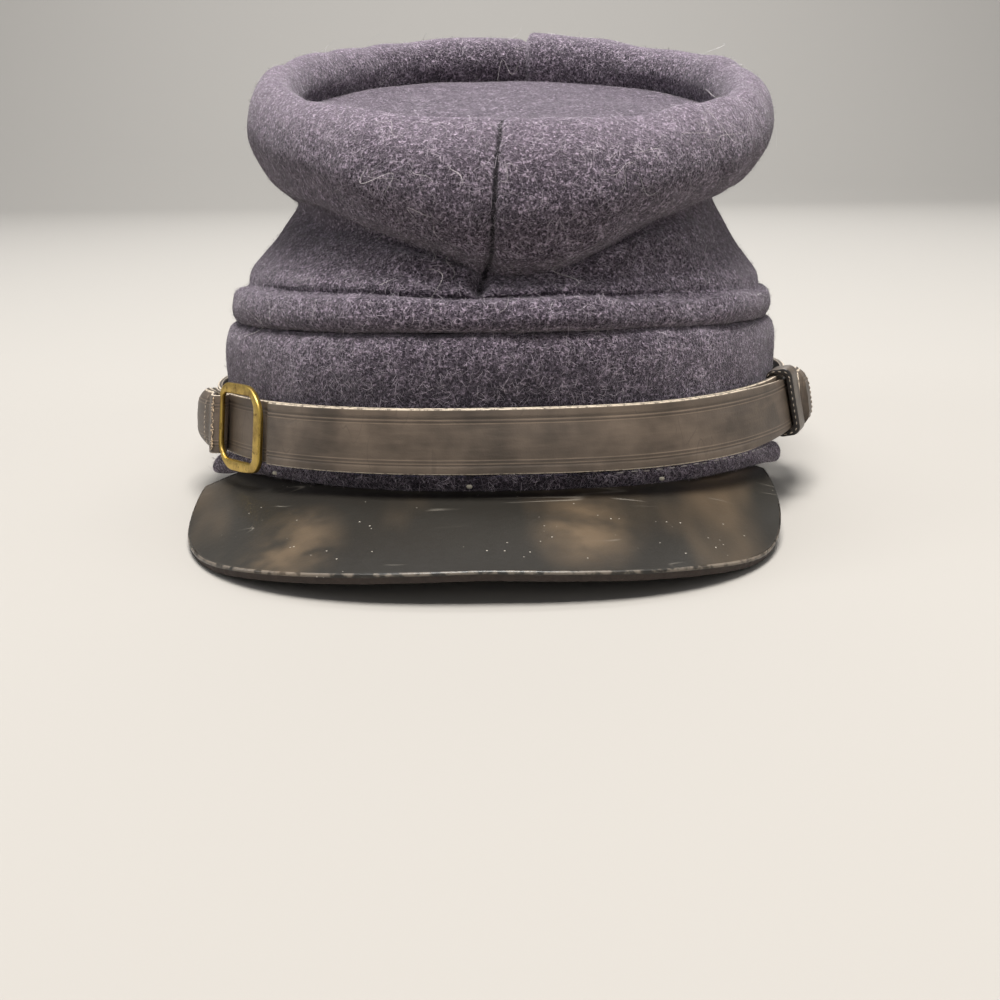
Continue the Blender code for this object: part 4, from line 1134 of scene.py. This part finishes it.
def make_strap_finish(name, base, rub):
    """Dyed leather: clouds, streaks and creases, polish in the tooled lines, and pale worn corners."""
    material, shader, wire = start_finish(name, base, 0.42, Specular_IOR_Level=0.45)
    place = place_of(wire)
    _, across = layout_of(wire)
    inside = STRAP_WIDTH / 2 - abs(across)

    def beside_grooves(shift, reach):
        return sum(1 - abs(inside - groove - shift).smooth(0.0, reach) for groove in GROOVES)

    def corner(place_out, core, reach):
        return 1 - abs(inside + place_out).smooth(core, reach)

    grain = noise(place, 1700, 2.0, 0.65)
    clouds = noise(place, 60, 3.0, 0.6)
    streaks = noise(stretched(place, (0.12, 0.12, 1.0)), 700, 2.0, 0.6)
    creases = curly_lines(stretched(place, (1.0, 1.0, 0.25)), 160, 60, 0.03) * clouds.smooth(0.50, 0.62)
    colour = mixed(clouds.smooth(0.30, 0.72), base, rub)
    colour = mixed((streaks - 0.45).clamped() * 0.7, colour, scaled(rub, 1.5))
    colour = mixed(creases * 0.25, colour, scaled(base, 0.4))
    colour = mixed((beside_grooves(0.0, TOOLED_REACH) * 0.45).clamped(), colour, scaled(base, 0.35))
    polish = beside_grooves(POLISH_SHIFT, POLISH_REACH) * streaks * 0.7
    colour = mixed(polish.clamped(), colour, scaled(rub, 2.4))
    colour = mixed((1 - inside.smooth(-0.00010, 0.00010)) * 0.7, colour, scaled(base, 0.5))
    worn = corner(*FRONT_CORNER) + corner(*BACK_CORNER) * 0.9
    worn = worn * noise(place, 800, 3.0, 0.75).smooth(0.30, 0.56)
    colour = mixed((worn * 0.9).clamped(), colour, CUT_EDGE)
    feed(shader, Base_Color=colour, Roughness=0.34 + grain * 0.16 + clouds * 0.08,
         Normal=bumped(grain * 0.6 + streaks * 0.5 - creases * 0.3, 0.00010, 0.8))
    return material


strap_finish = make_strap_finish("strap_leather", STRAP_BASE, STRAP_RUB)
print(strap_finish.name, "has", len(strap_finish.node_tree.nodes), "nodes")

# %% [markdown]
# The strap is two strips. The long one runs from side button to side button, and the other lies over it
# from inside the buckle to the sewn end behind the keeper, narrowing a little on the way there. Both follow
# the band by the same function, so they stay one layer apart at every place.

# %% Make the strap's two layers
right_half = with_tip(0, UNDER_REACH, 130)
under_way = np.concatenate([-right_half[:0:-1], right_half])
strap_under = strip("chin_strap_under", level_path(under_way, UNDER_LAYER),
                    rounded_half(under_way, UNDER_REACH, TAB_TIP), STRAP_WALL, strap_finish)
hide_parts("strap_under")

over_way = with_tip(-OVER_START, TAB_REACH - STRAP_WALL, 170)
over_half = rounded_half(np.clip(over_way, 0, None), TAB_REACH - STRAP_WALL, TAB_TIP)
over_half = over_half * (1 - OVER_TAPER * ramp(over_way - OVER_TAPER_FROM, OVER_TAPER_OVER))
strap_over = strip("chin_strap_over", level_path(over_way, OVER_LAYER), over_half, STRAP_WALL, strap_finish)
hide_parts("strap_over")
print("strap_over, metres:", tuple(round(side, 4) for side in strap_over.dimensions))

# %% [markdown]
# Behind the keeper the leather ends in a sewn tab that bulges where it was stuffed and stitched. It has no
# tooled lines, and its tip is round.

# %% Make the keeper's tab
tab_way = with_tip(KEEPER_TAB_START, TAB_REACH, 30)
keeper_tab = strip("keeper_end", level_path(tab_way, KEEPER_TAB_LAYER),
                   rounded_half(tab_way, TAB_REACH, TAB_ROUND), STRAP_WALL, strap_finish, (),
                   tab_dome(tab_way))
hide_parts("keeper_tab")
print("keeper_tab, metres:", tuple(round(side, 4) for side in keeper_tab.dimensions))

# %% [markdown]
# At the other side the leather is folded round the buckle's bar and sewn to itself. The fold could be a bent
# strip with a thickness added to it, but a path makes it directly: in along the outer layer, half a turn
# round the bar, and back along the inner layer.

# %% Make the buckle's fold
BEND_STEPS, INNER_STEPS = 21, 20
outer_way = -with_tip(BUCKLE_BAR_AT, TAB_REACH, 50)[::-1]
outer_way[0] += FOLD_BACK
rise = eased(ramp(outer_way + BUCKLE_BAR_AT + FOLD_SLOPE, FOLD_SLOPE))
outer_out = FOLD_OUTER + (BUCKLE_BAR_OUT + FOLD_RADIUS - FOLD_OUTER) * rise
bend = np.linspace(np.pi / 2, -np.pi / 2, BEND_STEPS)[1:-1]
inner_way = np.linspace(-BUCKLE_BAR_AT, -FOLD_INNER_END, INNER_STEPS)
fold_path = np.column_stack([
    np.concatenate([outer_way, -BUCKLE_BAR_AT + FOLD_RADIUS * np.cos(bend), inner_way]) - FOLD_BACK,
    np.concatenate([outer_out, BUCKLE_BAR_OUT + FOLD_RADIUS * np.sin(bend),
                    np.full(INNER_STEPS, FOLD_INNER)])])
fold_dome = np.zeros(len(fold_path))
fold_dome[:len(outer_way)] = tab_dome(outer_way)
buckle_tab = strip("buckle_fold", fold_path, rounded_half(fold_path[:, 0], TAB_REACH, TAB_ROUND),
                   FOLD_WALL, strap_finish, (), fold_dome)
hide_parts("buckle_tab")
print("buckle_tab, metres:", tuple(round(side, 4) for side in buckle_tab.dimensions))

# %% [markdown]
# ## Buckle and keeper
# The buckle is a flat brass frame, and the keeper is a leather loop round the strap. A cut-out with a bevel
# would make either, but the real ones have unlike corners and uneven bars. So both are rings: an outer and
# an inner outline with the same number of points, and a rounded section between them.

# %% Ring function
def round_box(left, right, bottom, top, corners, steps):
    """A rectangle with a round arc at each corner, from top right on over the left to bottom right."""
    quarter = np.linspace(0, np.pi / 2, steps)
    ends = ((right, top, -1, -1), (left, top, 1, -1), (left, bottom, 1, 1), (right, bottom, -1, 1))
    arcs = [np.column_stack([x + radius * (x_way + np.cos(quarter + turn * np.pi / 2)),
                             y + radius * (y_way + np.sin(quarter + turn * np.pi / 2))])
            for turn, ((x, y, x_way, y_way), radius) in enumerate(zip(ends, corners))]
    share = np.linspace(0, 1, steps + 2)[1:-1, None]
    sides = [arcs[turn][-1] * (1 - share) + arcs[(turn + 1) % 4][0] * share for turn in range(4)]
    return np.concatenate([part for pair in zip(arcs, sides) for part in pair])


def ring_points(outer, inner, thickness, section, square):
    """Round section between two outlines: across by the cosine, through by the sine, squared off."""
    turn = whole_turn(section)[None, :, None]
    middle, half = (outer + inner) / 2, (outer - inner) / 2
    flat = middle[:, None] + half[:, None] * signed_power(np.cos(turn), square)
    depth = thickness / 2 * signed_power(np.sin(turn), square)
    return np.concatenate([flat, np.broadcast_to(depth, flat.shape[:2] + (1,))], axis=-1)


def placed(points, across, up, through_it, origin):
    """Points of a flat drawing put in the cap's frame: across and up its face, and through it."""
    return origin + points @ np.array([across, up, through_it])


print("a box with round corners has", len(round_box(0, 2, 0, 1, 4 * [0.2], 18)), "points")

# %% [markdown]
# The brass is aged: warm gold with duller, browner patches, and small pits in which dirt has stayed.

# %% Brass finish
def make_brass():
    """Aged brass: tarnish in clouds, and dark pits."""
    material, shader, wire = start_finish("aged_brass", (0.50, 0.35, 0.09), 0.32, Metallic=1.0)
    place = place_of(wire)
    tarnish = noise(place, 170, 4.0, 0.65).smooth(0.40, 0.66)
    fine = noise(place, 1800, 2.0, 0.6)
    pits = noise(place, 600, 2.0, 0.6).smooth(0.60, 0.68)
    colour = mixed(tarnish, (0.56, 0.39, 0.095), (0.30, 0.195, 0.055))
    colour = mixed(pits * 0.6, colour, (0.12, 0.08, 0.03))
    feed(shader, Base_Color=colour, Roughness=0.26 + tarnish * 0.20 + fine * 0.08 + pits * 0.2,
         Normal=bumped(fine * 0.4 + tarnish * 0.6 - pits, 0.00006, 0.6))
    return material


brass = make_brass()
print(brass.name, "has", len(brass.node_tree.nodes), "nodes")

# %% [markdown]
# The buckle turns on its bar, which lies in the leather's fold. From there the frame leans back against the
# strap, so its front bar is the place in that layer that is one frame's length away.

# %% Make the buckle
BUCKLE_SECTION, BUCKLE_SQUARE, CORNER_STEPS, TRIES = 28, 0.36, 18, 400
BUCKLE_NARROWING, NARROW_FROM, NARROW_OVER, BUCKLE_BEVEL = 0.10, 0.011, 0.012, 0.00035
bar, _, bar_up, _ = strap_axes(-BUCKLE_BAR_AT, BUCKLE_BAR_OUT)
fronts = on_strap(np.linspace(-BUCKLE_BAR_AT, 0, TRIES), np.full(TRIES, BUCKLE_FRONT_OUT), np.zeros(TRIES))
pitch = BUCKLE_WIDTH - BUCKLE_LOOP_BAR / 2 - BUCKLE_OUTER_BAR / 2
front = fronts[np.argmin(np.abs(np.linalg.norm(fronts - bar, axis=1) - pitch))]
buckle_along = unit(front - bar)
buckle_out = unit(np.cross(buckle_along, bar_up))
buckle_up = np.cross(buckle_out, buckle_along)
left = -BUCKLE_LOOP_BAR / 2
rim = round_box(left, left + BUCKLE_WIDTH, -BUCKLE_HEIGHT / 2, BUCKLE_HEIGHT / 2, BUCKLE_CORNERS,
                CORNER_STEPS)
hole = round_box(left + BUCKLE_LOOP_BAR, left + BUCKLE_WIDTH - BUCKLE_OUTER_BAR, -BUCKLE_OPENING / 2,
                 BUCKLE_OPENING / 2, BUCKLE_HOLE_CORNERS, CORNER_STEPS)
rim[:, 1] *= 1 - BUCKLE_NARROWING * ramp(rim[:, 0] - left - NARROW_FROM, NARROW_OVER) ** 2
buckle_shape = ring_points(rim, hole, BUCKLE_WALL, BUCKLE_SECTION, BUCKLE_SQUARE)
across = whole_turn(BUCKLE_SECTION)
buckle_shape[..., 2] -= BUCKLE_BEVEL * np.clip(-np.cos(across), 0, 1) ** 2 * np.sign(np.sin(across))
buckle_places = lay(placed(buckle_shape, buckle_along, buckle_up, buckle_out, bar))
buckle = make_piece("brass_buckle", buckle_places, grid_quads(len(rim), BUCKLE_SECTION, True, True), brass)
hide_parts("buckle")

# %% [markdown]
# The keeper's loop is of the strap's leather, and its two cut edges have been polished black. Its layout runs
# from one cut edge to the other, so the finish knows where the edges and the corners between them are.

# %% Keeper finish
def make_keeper_finish():
    """Leather like the strap's on the loop's outer face, and black polish on its two cut edges."""
    material, shader, wire = start_finish("keeper_leather", (0.04, 0.03, 0.022), 0.4)
    place = place_of(wire)
    span, _ = layout_of(wire)
    grain = noise(place, 1700, 2.0, 0.65)
    clouds = noise(place, 120, 3.0, 0.6)
    face = mixed(clouds.smooth(0.3, 0.7), (0.048, 0.037, 0.029), (0.105, 0.080, 0.060))
    black = mixed(grain, (0.006, 0.005, 0.005), (0.022, 0.017, 0.014))
    edge = abs(span).smooth(0.70, 0.92)
    corner = 1 - abs(abs(span) - 0.66).smooth(0.0, 0.10)
    colour = mixed(corner * noise(place, 900, 2.0).smooth(0.4, 0.6) * 0.5, mixed(edge, face, black),
                   (0.42, 0.35, 0.27))
    feed(shader, Base_Color=colour, Roughness=0.30 + grain * 0.2, Normal=bumped(grain, 0.00010, 0.7))
    return material


keeper_finish = make_keeper_finish()
print(keeper_finish.name, "has", len(keeper_finish.node_tree.nodes), "nodes")

# %% [markdown]
# The loop goes round all three layers with a little ease, and is drawn in towards the front, where the
# leather was pulled tight. A line on its cut edge is kept for the stitches that come later.

# %% Make the keeper
KEEPER_SECTION, KEEPER_SQUARE, KEEPER_CORNER_STEPS = 32, 0.22, 14
KEEPER_NARROWING, KEEPER_STITCHES = 0.13, 26
keeper_place, keeper_along, keeper_up, keeper_out = strap_axes(KEEPER_AT, 0)
inside = UNDER_LAYER - KEEPER_EASE
outside = KEEPER_TAB_LAYER + KEEPER_EASE / 2
half = STRAP_WIDTH / 2 + KEEPER_EASE
loop_in = round_box(inside, outside, -half, half, 4 * [KEEPER_CORNER / 2], KEEPER_CORNER_STEPS)
loop_out = round_box(inside - KEEPER_WALL, outside + KEEPER_THICK, -half - KEEPER_WALL, half + KEEPER_WALL,
                     4 * [KEEPER_CORNER], KEEPER_CORNER_STEPS)
loop_in[:, 1] *= 1 - KEEPER_NARROWING * (loop_in[:, 0] - inside) / (outside - inside)
keeper_shape = ring_points(loop_out, loop_in, KEEPER_WIDTH, KEEPER_SECTION, KEEPER_SQUARE)
keeper_axes = (keeper_out, keeper_up, -keeper_along, keeper_place)
keeper_layout = np.stack(np.broadcast_arrays(np.sin(whole_turn(KEEPER_SECTION))[None],
                                             np.arange(len(loop_in))[:, None]), axis=-1)
keeper = make_piece("keeper_loop", lay(placed(keeper_shape, *keeper_axes)),
                    grid_quads(len(loop_in), KEEPER_SECTION, True, True), keeper_finish, keeper_layout)
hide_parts("keeper")
edge_line = loop_out * 0.55 + loop_in * 0.45
edge_far = walked(edge_line)
stitch_far = np.linspace(0, edge_far[-1], KEEPER_STITCHES)
keeper_edge = np.column_stack([np.interp(stitch_far, edge_far, column) for column in edge_line.T]
                              + [np.full(KEEPER_STITCHES, KEEPER_WIDTH / 2)])
keeper_edge = lay(placed(keeper_edge, *keeper_axes))

# %% [markdown]
# ## Side buttons
# The strap's ends are held by two small plain brass buttons with a raised rim. A screw modifier could turn
# one from its profile, and here the same helpers do it: radius and height along the profile, and the angle
# round the button's own axis.

# %% Make the buttons
BUTTON_RADIUS, BUTTON_DOME, BUTTON_SHANK = 0.0055, 0.0028, 0.0015
BUTTON_RINGS, BUTTON_COLUMNS, BUTTON_CLOSED = 60, 64, 1e-5
BUTTON_PROFILE = np.array([
    # radius height, as shares of the button's radius and dome
    (0.001, 1.00), (0.30, 0.96), (0.60, 0.82), (0.80, 0.62), (0.86, 0.52), (0.90, 0.50), (0.95, 0.52),
    (0.99, 0.42), (1.00, 0.22), (0.98, 0.06), (0.90, 0.02), (0.50, 0.01), (0.30, 0.00),
])


def button_points(side):
    """A turned button on the strap's end: its profile, then the shank down to the cloth, spun round."""
    profile = through(BUTTON_PROFILE, np.linspace(0, len(BUTTON_PROFILE) - 1, BUTTON_RINGS))
    radius = np.concatenate([profile[:, 0] * BUTTON_RADIUS, [BUTTON_SHANK, BUTTON_SHANK, BUTTON_CLOSED]])
    height = np.concatenate([OVER_LAYER + JOINT + profile[:, 1] * (BUTTON_DOME - JOINT),
                             [OVER_LAYER, JOINT, JOINT]])
    turn = whole_turn(BUTTON_COLUMNS)
    flat = np.stack(np.broadcast_arrays(radius[:, None] * np.cos(turn), radius[:, None] * np.sin(turn),
                                        height[:, None]), axis=-1)
    place, along, up, outward = strap_axes(side * BUTTON_AT, 0)
    return lay(placed(flat, along, up, outward, place))


for side, name in ((-1, "left"), (1, "right")):
    points = button_points(side)
    button = make_piece("button_" + name, points, grid_quads(len(points), BUTTON_COLUMNS, False, True), brass)
    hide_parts("side_button_" + name)

# %% [markdown]
# ## Stitches
# Thread shows where the folded leather is sewn round the buckle's bar, along the keeper's end, and low on
# the band where the peak is sewn in. A painted dashed line would stay flat in the light, so each stitch is
# one small grain of thread: a rounded capsule with a few dozen faces, copied along a line by arrays alone.

# %% Thread and stitches
STITCH_RINGS, STITCH_SIDES, STITCH_FLATNESS, STITCH_BOW = 7, 6, 0.8, 0.0001


def make_thread(name, colour):
    """Thread with darker twists."""
    material, shader, wire = start_finish(name, colour, 0.75)
    twist = noise(place_of(wire), 2600, 1.0)
    feed(shader, Base_Color=mixed(twist, scaled(colour, 0.55), colour))
    return material


def stitches(name, line, outward, length, thick, material):
    """Capsules along a line of places: rings whose radius falls off towards each stitch's two ends."""
    run = unit(np.gradient(line, axis=0))
    side = np.cross(outward, run)
    way = np.linspace(-1, 1, STITCH_RINGS)[None, :, None, None]
    turn = whole_turn(STITCH_SIDES)[None, None, :, None]
    radius = thick / 2 * np.sqrt(np.clip(1 - np.abs(way) ** 3, 0.01, 1))
    lifted = np.sin(turn) * radius * STITCH_FLATNESS + STITCH_BOW * (1 - way ** 2)
    points = (line[:, None, None] + run[:, None, None] * way * length / 2
              + side[:, None, None] * np.cos(turn) * radius + outward[:, None, None] * lifted)
    first = STITCH_RINGS * STITCH_SIDES * np.arange(len(line))[:, None, None]
    quads = (grid_quads(STITCH_RINGS, STITCH_SIDES, False, True)[None] + first).reshape(-1, 4)
    piece = make_piece(name, points, quads, material)


pale_thread = make_thread("pale_thread", (0.52, 0.47, 0.45))
brown_thread = make_thread("brown_thread", (0.34, 0.28, 0.22))
print("one stitch has", len(grid_quads(STITCH_RINGS, STITCH_SIDES, False, True)), "quads")

# %% [markdown]
# Two rows of thread cross the buckle's fold and one crosses the keeper's tab, over its dome. The keeper's
# loop is sewn along its cut edge, and the worn end of the fold is frayed to short pale bits.

# %% Sew the leather
PROBE = 0.001
FRAYS, FRAY_SPAN, FRAY_DEEP, FRAY_SINK = 64, (-0.0072, 0.0074), (0.0000, 0.0017), 0.0002


def strap_line(distances, out, heights):
    """A line of places on the strap's face, and the face's outward direction at each."""
    line = lay(on_strap(distances, out, heights))
    further = lay(on_strap(distances, out + PROBE, heights))
    return line, (further - line) / PROBE


def tab_stitches(name, distance, layer, reach):
    """A row of ten stitches across a tab's domed face, at one distance along the strap."""
    heights = np.linspace(-reach, reach, 10)
    half = rounded_half(np.array([distance]), TAB_REACH, TAB_ROUND)
    out = layer + tab_dome(distance) * (1 - (heights / half) ** 4)
    line, outward = strap_line(np.full(len(heights), distance), out, heights)
    stitches(name, line, outward, 0.0011, 0.0004, brown_thread)


tab_stitches("fold_stitches_near", -0.0935, FOLD_OUTER + FOLD_WALL / 2, 0.0066)
tab_stitches("fold_stitches_far", -0.0975, FOLD_OUTER + FOLD_WALL / 2, 0.0064)
tab_stitches("keeper_stitches", 0.1062, KEEPER_TAB_LAYER + STRAP_WALL, 0.0062)
edge_outward = (lay(-keeper_along * PROBE) - lay(np.zeros(3))) / PROBE
stitches("keeper_edge_stitches", keeper_edge, np.tile(edge_outward, (len(keeper_edge), 1)),
         0.0009, 0.00030, brown_thread)
random = np.random.default_rng(77)
fray_heights = np.sort(random.uniform(*FRAY_SPAN, FRAYS))
fray_way = -BUCKLE_BAR_AT - FOLD_BACK + random.uniform(*FRAY_DEEP, FRAYS)
fray_out = np.full(FRAYS, BUCKLE_BAR_OUT + FOLD_RADIUS + FOLD_WALL / 2 - FRAY_SINK)
line, outward = strap_line(fray_way, fray_out, fray_heights)
stitches("frayed_fold", line, outward, 0.0009, 0.00036, make_thread("frayed_leather", (0.56, 0.42, 0.28)))

# %% [markdown]
# ## The welt over the peak's root
# Along the front the band's cloth is turned out over the peak, as a soft welt that hides the peak's raw
# root. It stands out little at the front and more at the sides, where its two ends stick out as fuzzy
# nubs. A bevelled curve would be the same size all along, so a path along the hem carries an oval whose
# size changes on the way, and the ends close by shrinking.

# %% Make the welt
WELT_ENDS = (-1.235, 1.265)
WELT_MIDDLE, WELT_HALF = sum(WELT_ENDS) / 2, (WELT_ENDS[1] - WELT_ENDS[0]) / 2
WELT_COLUMNS, WELT_RING = 300, 44
WELT_REACH, WELT_REACH_SIDES, WELT_LEFT_NUB, WELT_NUB_SPAN = 0.0030, 0.0046, 0.0034, 0.13
WELT_TALL, WELT_TALL_SIDES, WELT_TUCK, WELT_SLOPE = 0.0021, 0.0018, 0.0006, 0.12
WELT_LEVEL, WELT_DROP = 0.0010, 0.0030


def welt_points(angle, turn):
    """An oval round the hem's path: out by a raised cosine, up by a sine, both growing to the sides."""
    x, y = band_outline(*BAND_SECTIONS[0, :3], 0, angle)
    run = unit(np.gradient(np.stack([x, y], axis=-1), axis=0))
    way = np.abs(angle - WELT_MIDDLE) / WELT_HALF
    end = np.sqrt(np.clip(1 - ramp(way - 0.93, 0.07) ** 2, 0.0004, 1))
    reach = WELT_REACH + WELT_REACH_SIDES * way ** 4
    reach = (reach + WELT_LEFT_NUB * near(angle, WELT_ENDS[0] + 0.03, WELT_NUB_SPAN)) * (0.55 + 0.45 * end)
    tall = (WELT_TALL + WELT_TALL_SIDES * way ** 6) * end
    out = reach[:, None] * (0.5 + 0.5 * signed_power(np.cos(turn), 0.8)[None]) - WELT_TUCK
    up = tall[:, None] * np.sin(turn)[None] + (WELT_LEVEL - WELT_DROP * way ** 8)[:, None] - out * WELT_SLOPE
    points = np.stack([x[:, None] + run[:, 1:] * out, y[:, None] - run[:, :1] * out, up], axis=-1)
    ragged = 0.0004 * soft_waves(points, 0.011, 51)
    ragged = ragged + 0.0006 * soft_waves(points, 0.0045, 52) * way[:, None] ** 10
    return points + ragged[..., None] * np.array([1.0, -1.0, 0.6])


welt_way = np.sin(np.linspace(-np.pi / 2, np.pi / 2, WELT_COLUMNS) * 0.999)
welt_grid = lay(welt_points(WELT_MIDDLE + welt_way * WELT_HALF, whole_turn(WELT_RING)))
# The welt is made of the band's wool, so the painted shade darkens its front too.
welt = make_piece("peak_welt", welt_grid, grid_quads(WELT_COLUMNS, WELT_RING, False, True), band_wool)
ribbons("welt_fibres", welt_grid, 4000, (0.0010, 0.0034), 0.00007, 0.0005, 0.4, fibre_finish, 205, 4)

# %% [markdown]
# The peak is sewn in through the welt. On the right the thread is pale and shows on the cloth under the
# strap, and along the rest it is navy. Three pale thread ends have been left next to the seam.

# %% Sew in the peak
SEWN_TURN, ENDS_TURN, THREAD_ENDS = 0.95, -0.25, (-0.062, -0.010, 0.039)
navy_thread = make_thread("navy_thread", (0.055, 0.045, 0.085))


def welt_line(first, last, count, turn):
    """A line of places on the welt at one turn of its oval, and the cloth's outward direction there."""
    angle = np.linspace(first, last, count)
    line, middle = lay(welt_points(angle, np.array([turn, turn + np.pi]))).transpose(1, 0, 2)
    return line, unit(line - (line + middle) / 2)


line, outward = welt_line(0.30, 1.06, 17, SEWN_TURN)
stitches("welt_stitches_left", line, outward, 0.0022, 0.00042, pale_thread)
line, outward = welt_line(-1.05, 0.25, 30, SEWN_TURN)
stitches("welt_stitches_front", line, outward, 0.0022, 0.00036, navy_thread)
line, outward = welt_line(-0.95, 0.95, 400, ENDS_TURN)
ends = np.abs(line[:, :1] - np.array(THREAD_ENDS)).argmin(axis=0)
stitches("thread_ends", line[ends], outward[ends], 0.0016, 0.0012,
         make_thread("cut_thread", (0.80, 0.73, 0.60)))

# %% [markdown]
# ## Cloth
# Four of the pieces are sheets of cloth: they were cut flat and sewn. The crown's cloth is measured here
# along its length, at the front, one side and the back.

crown_lengths = np.linalg.norm(np.diff(outer_crown, axis=0), axis=-1).sum(axis=0)
print("crown's length from the band to the top seam, metres:",
      crown_lengths[[0, CROWN_COLUMNS // 4, CROWN_COLUMNS // 2]])
print("welt, half its surface in square metres:", sum(face.area for face in welt.data.polygons) / 2)

# %% [markdown]
# ## Floor and light
# A pale sweep of paper stands under and behind the cap. A flat floor would show its far edge as a line, so
# the paper curves up into a wall.

# %% Paper sweep
SWEEP_NEAR, SWEEP_CURVE, SWEEP_RADIUS, SWEEP_TOP, SWEEP_HALF = -3.0, 1.6, 0.8, 4.0, 4.0


def make_sweep():
    """Paper: flat under the cap, then a quarter circle up to a wall behind it."""
    bend = np.linspace(0, np.pi / 2, 24)
    curve = np.column_stack([SWEEP_CURVE + SWEEP_RADIUS * np.sin(bend), SWEEP_RADIUS * (1 - np.cos(bend))])
    profile = np.concatenate([[[SWEEP_NEAR, 0.0]], curve, [[SWEEP_CURVE + SWEEP_RADIUS, SWEEP_TOP]]])
    sides = np.array([-SWEEP_HALF, SWEEP_HALF])
    points = np.stack(np.broadcast_arrays(sides, profile[:, :1], profile[:, 1:]), axis=-1)
    material, shader, wire = start_finish("pale_paper", (0.33, 0.31, 0.285), 0.9)
    mesh = bpy.data.meshes.new("sweep")
    mesh.from_pydata(points.reshape(-1, 3), [], grid_quads(len(profile), 2, False, False))
    mesh.polygons.foreach_set("use_smooth", np.full(len(mesh.polygons), True))
    mesh.materials.append(material)
    sweep = bpy.data.objects.new("sweep", mesh)
    bpy.context.scene.collection.objects.link(sweep)
    return sweep


print("paper, metres:", tuple(make_sweep().dimensions))

# %% [markdown]
# The light is soft, as in a room with pale walls: one large lamp high above the front, weaker ones at both
# sides, behind and in front, one on the wall, and a pale sky that fills the shadows. A single hard lamp
# would draw the seams well but turn the wool's hollows black.

# %% Lamps and sky
SKY_COLOUR, SKY_STRENGTH = (0.90, 0.94, 1.0, 1.0), 0.17


def add_lamp(name, place, size, power, colour=(1.0, 1.0, 1.0), target=(0.0, 0.0, 0.06)):
    """A square area lamp that looks at the middle of the cap, or at another target."""
    data = bpy.data.lights.new(name, "AREA")
    data.size = size
    data.energy = power
    data.color = colour
    lamp = bpy.data.objects.new(name, data)
    lamp.location = place
    lamp.rotation_euler = (Vector(target) - Vector(place)).to_track_quat("-Z", "Y").to_euler()
    bpy.context.scene.collection.objects.link(lamp)
    print(f"lamp {name}: {power} watts, {size} metres wide")


add_lamp("key", (0.0, -0.30, 1.25), 0.55, 32.0, (1.0, 0.985, 0.96))
add_lamp("right_fill", (1.2, 0.0, 0.6), 0.7, 3.0)
add_lamp("left_fill", (-1.2, 0.0, 0.6), 0.7, 4.2, (0.94, 0.97, 1.0))
add_lamp("back", (0.2, 1.3, 0.9), 0.9, 4.0)
add_lamp("front_fill", (0.15, -1.3, 0.55), 0.8, 2.4, (1.0, 0.97, 0.94))
add_lamp("wall", (0.0, 0.7, 1.9), 1.4, 60.0, (0.96, 0.98, 1.0), (0.0, 2.4, 0.8))
sky = bpy.data.worlds.new("soft_sky")
sky.use_nodes = True
background = sky.node_tree.nodes["Background"]
background.inputs["Color"].default_value = SKY_COLOUR
background.inputs["Strength"].default_value = SKY_STRENGTH
bpy.context.scene.world = sky
bpy.context.scene.view_settings.view_transform = "Standard"
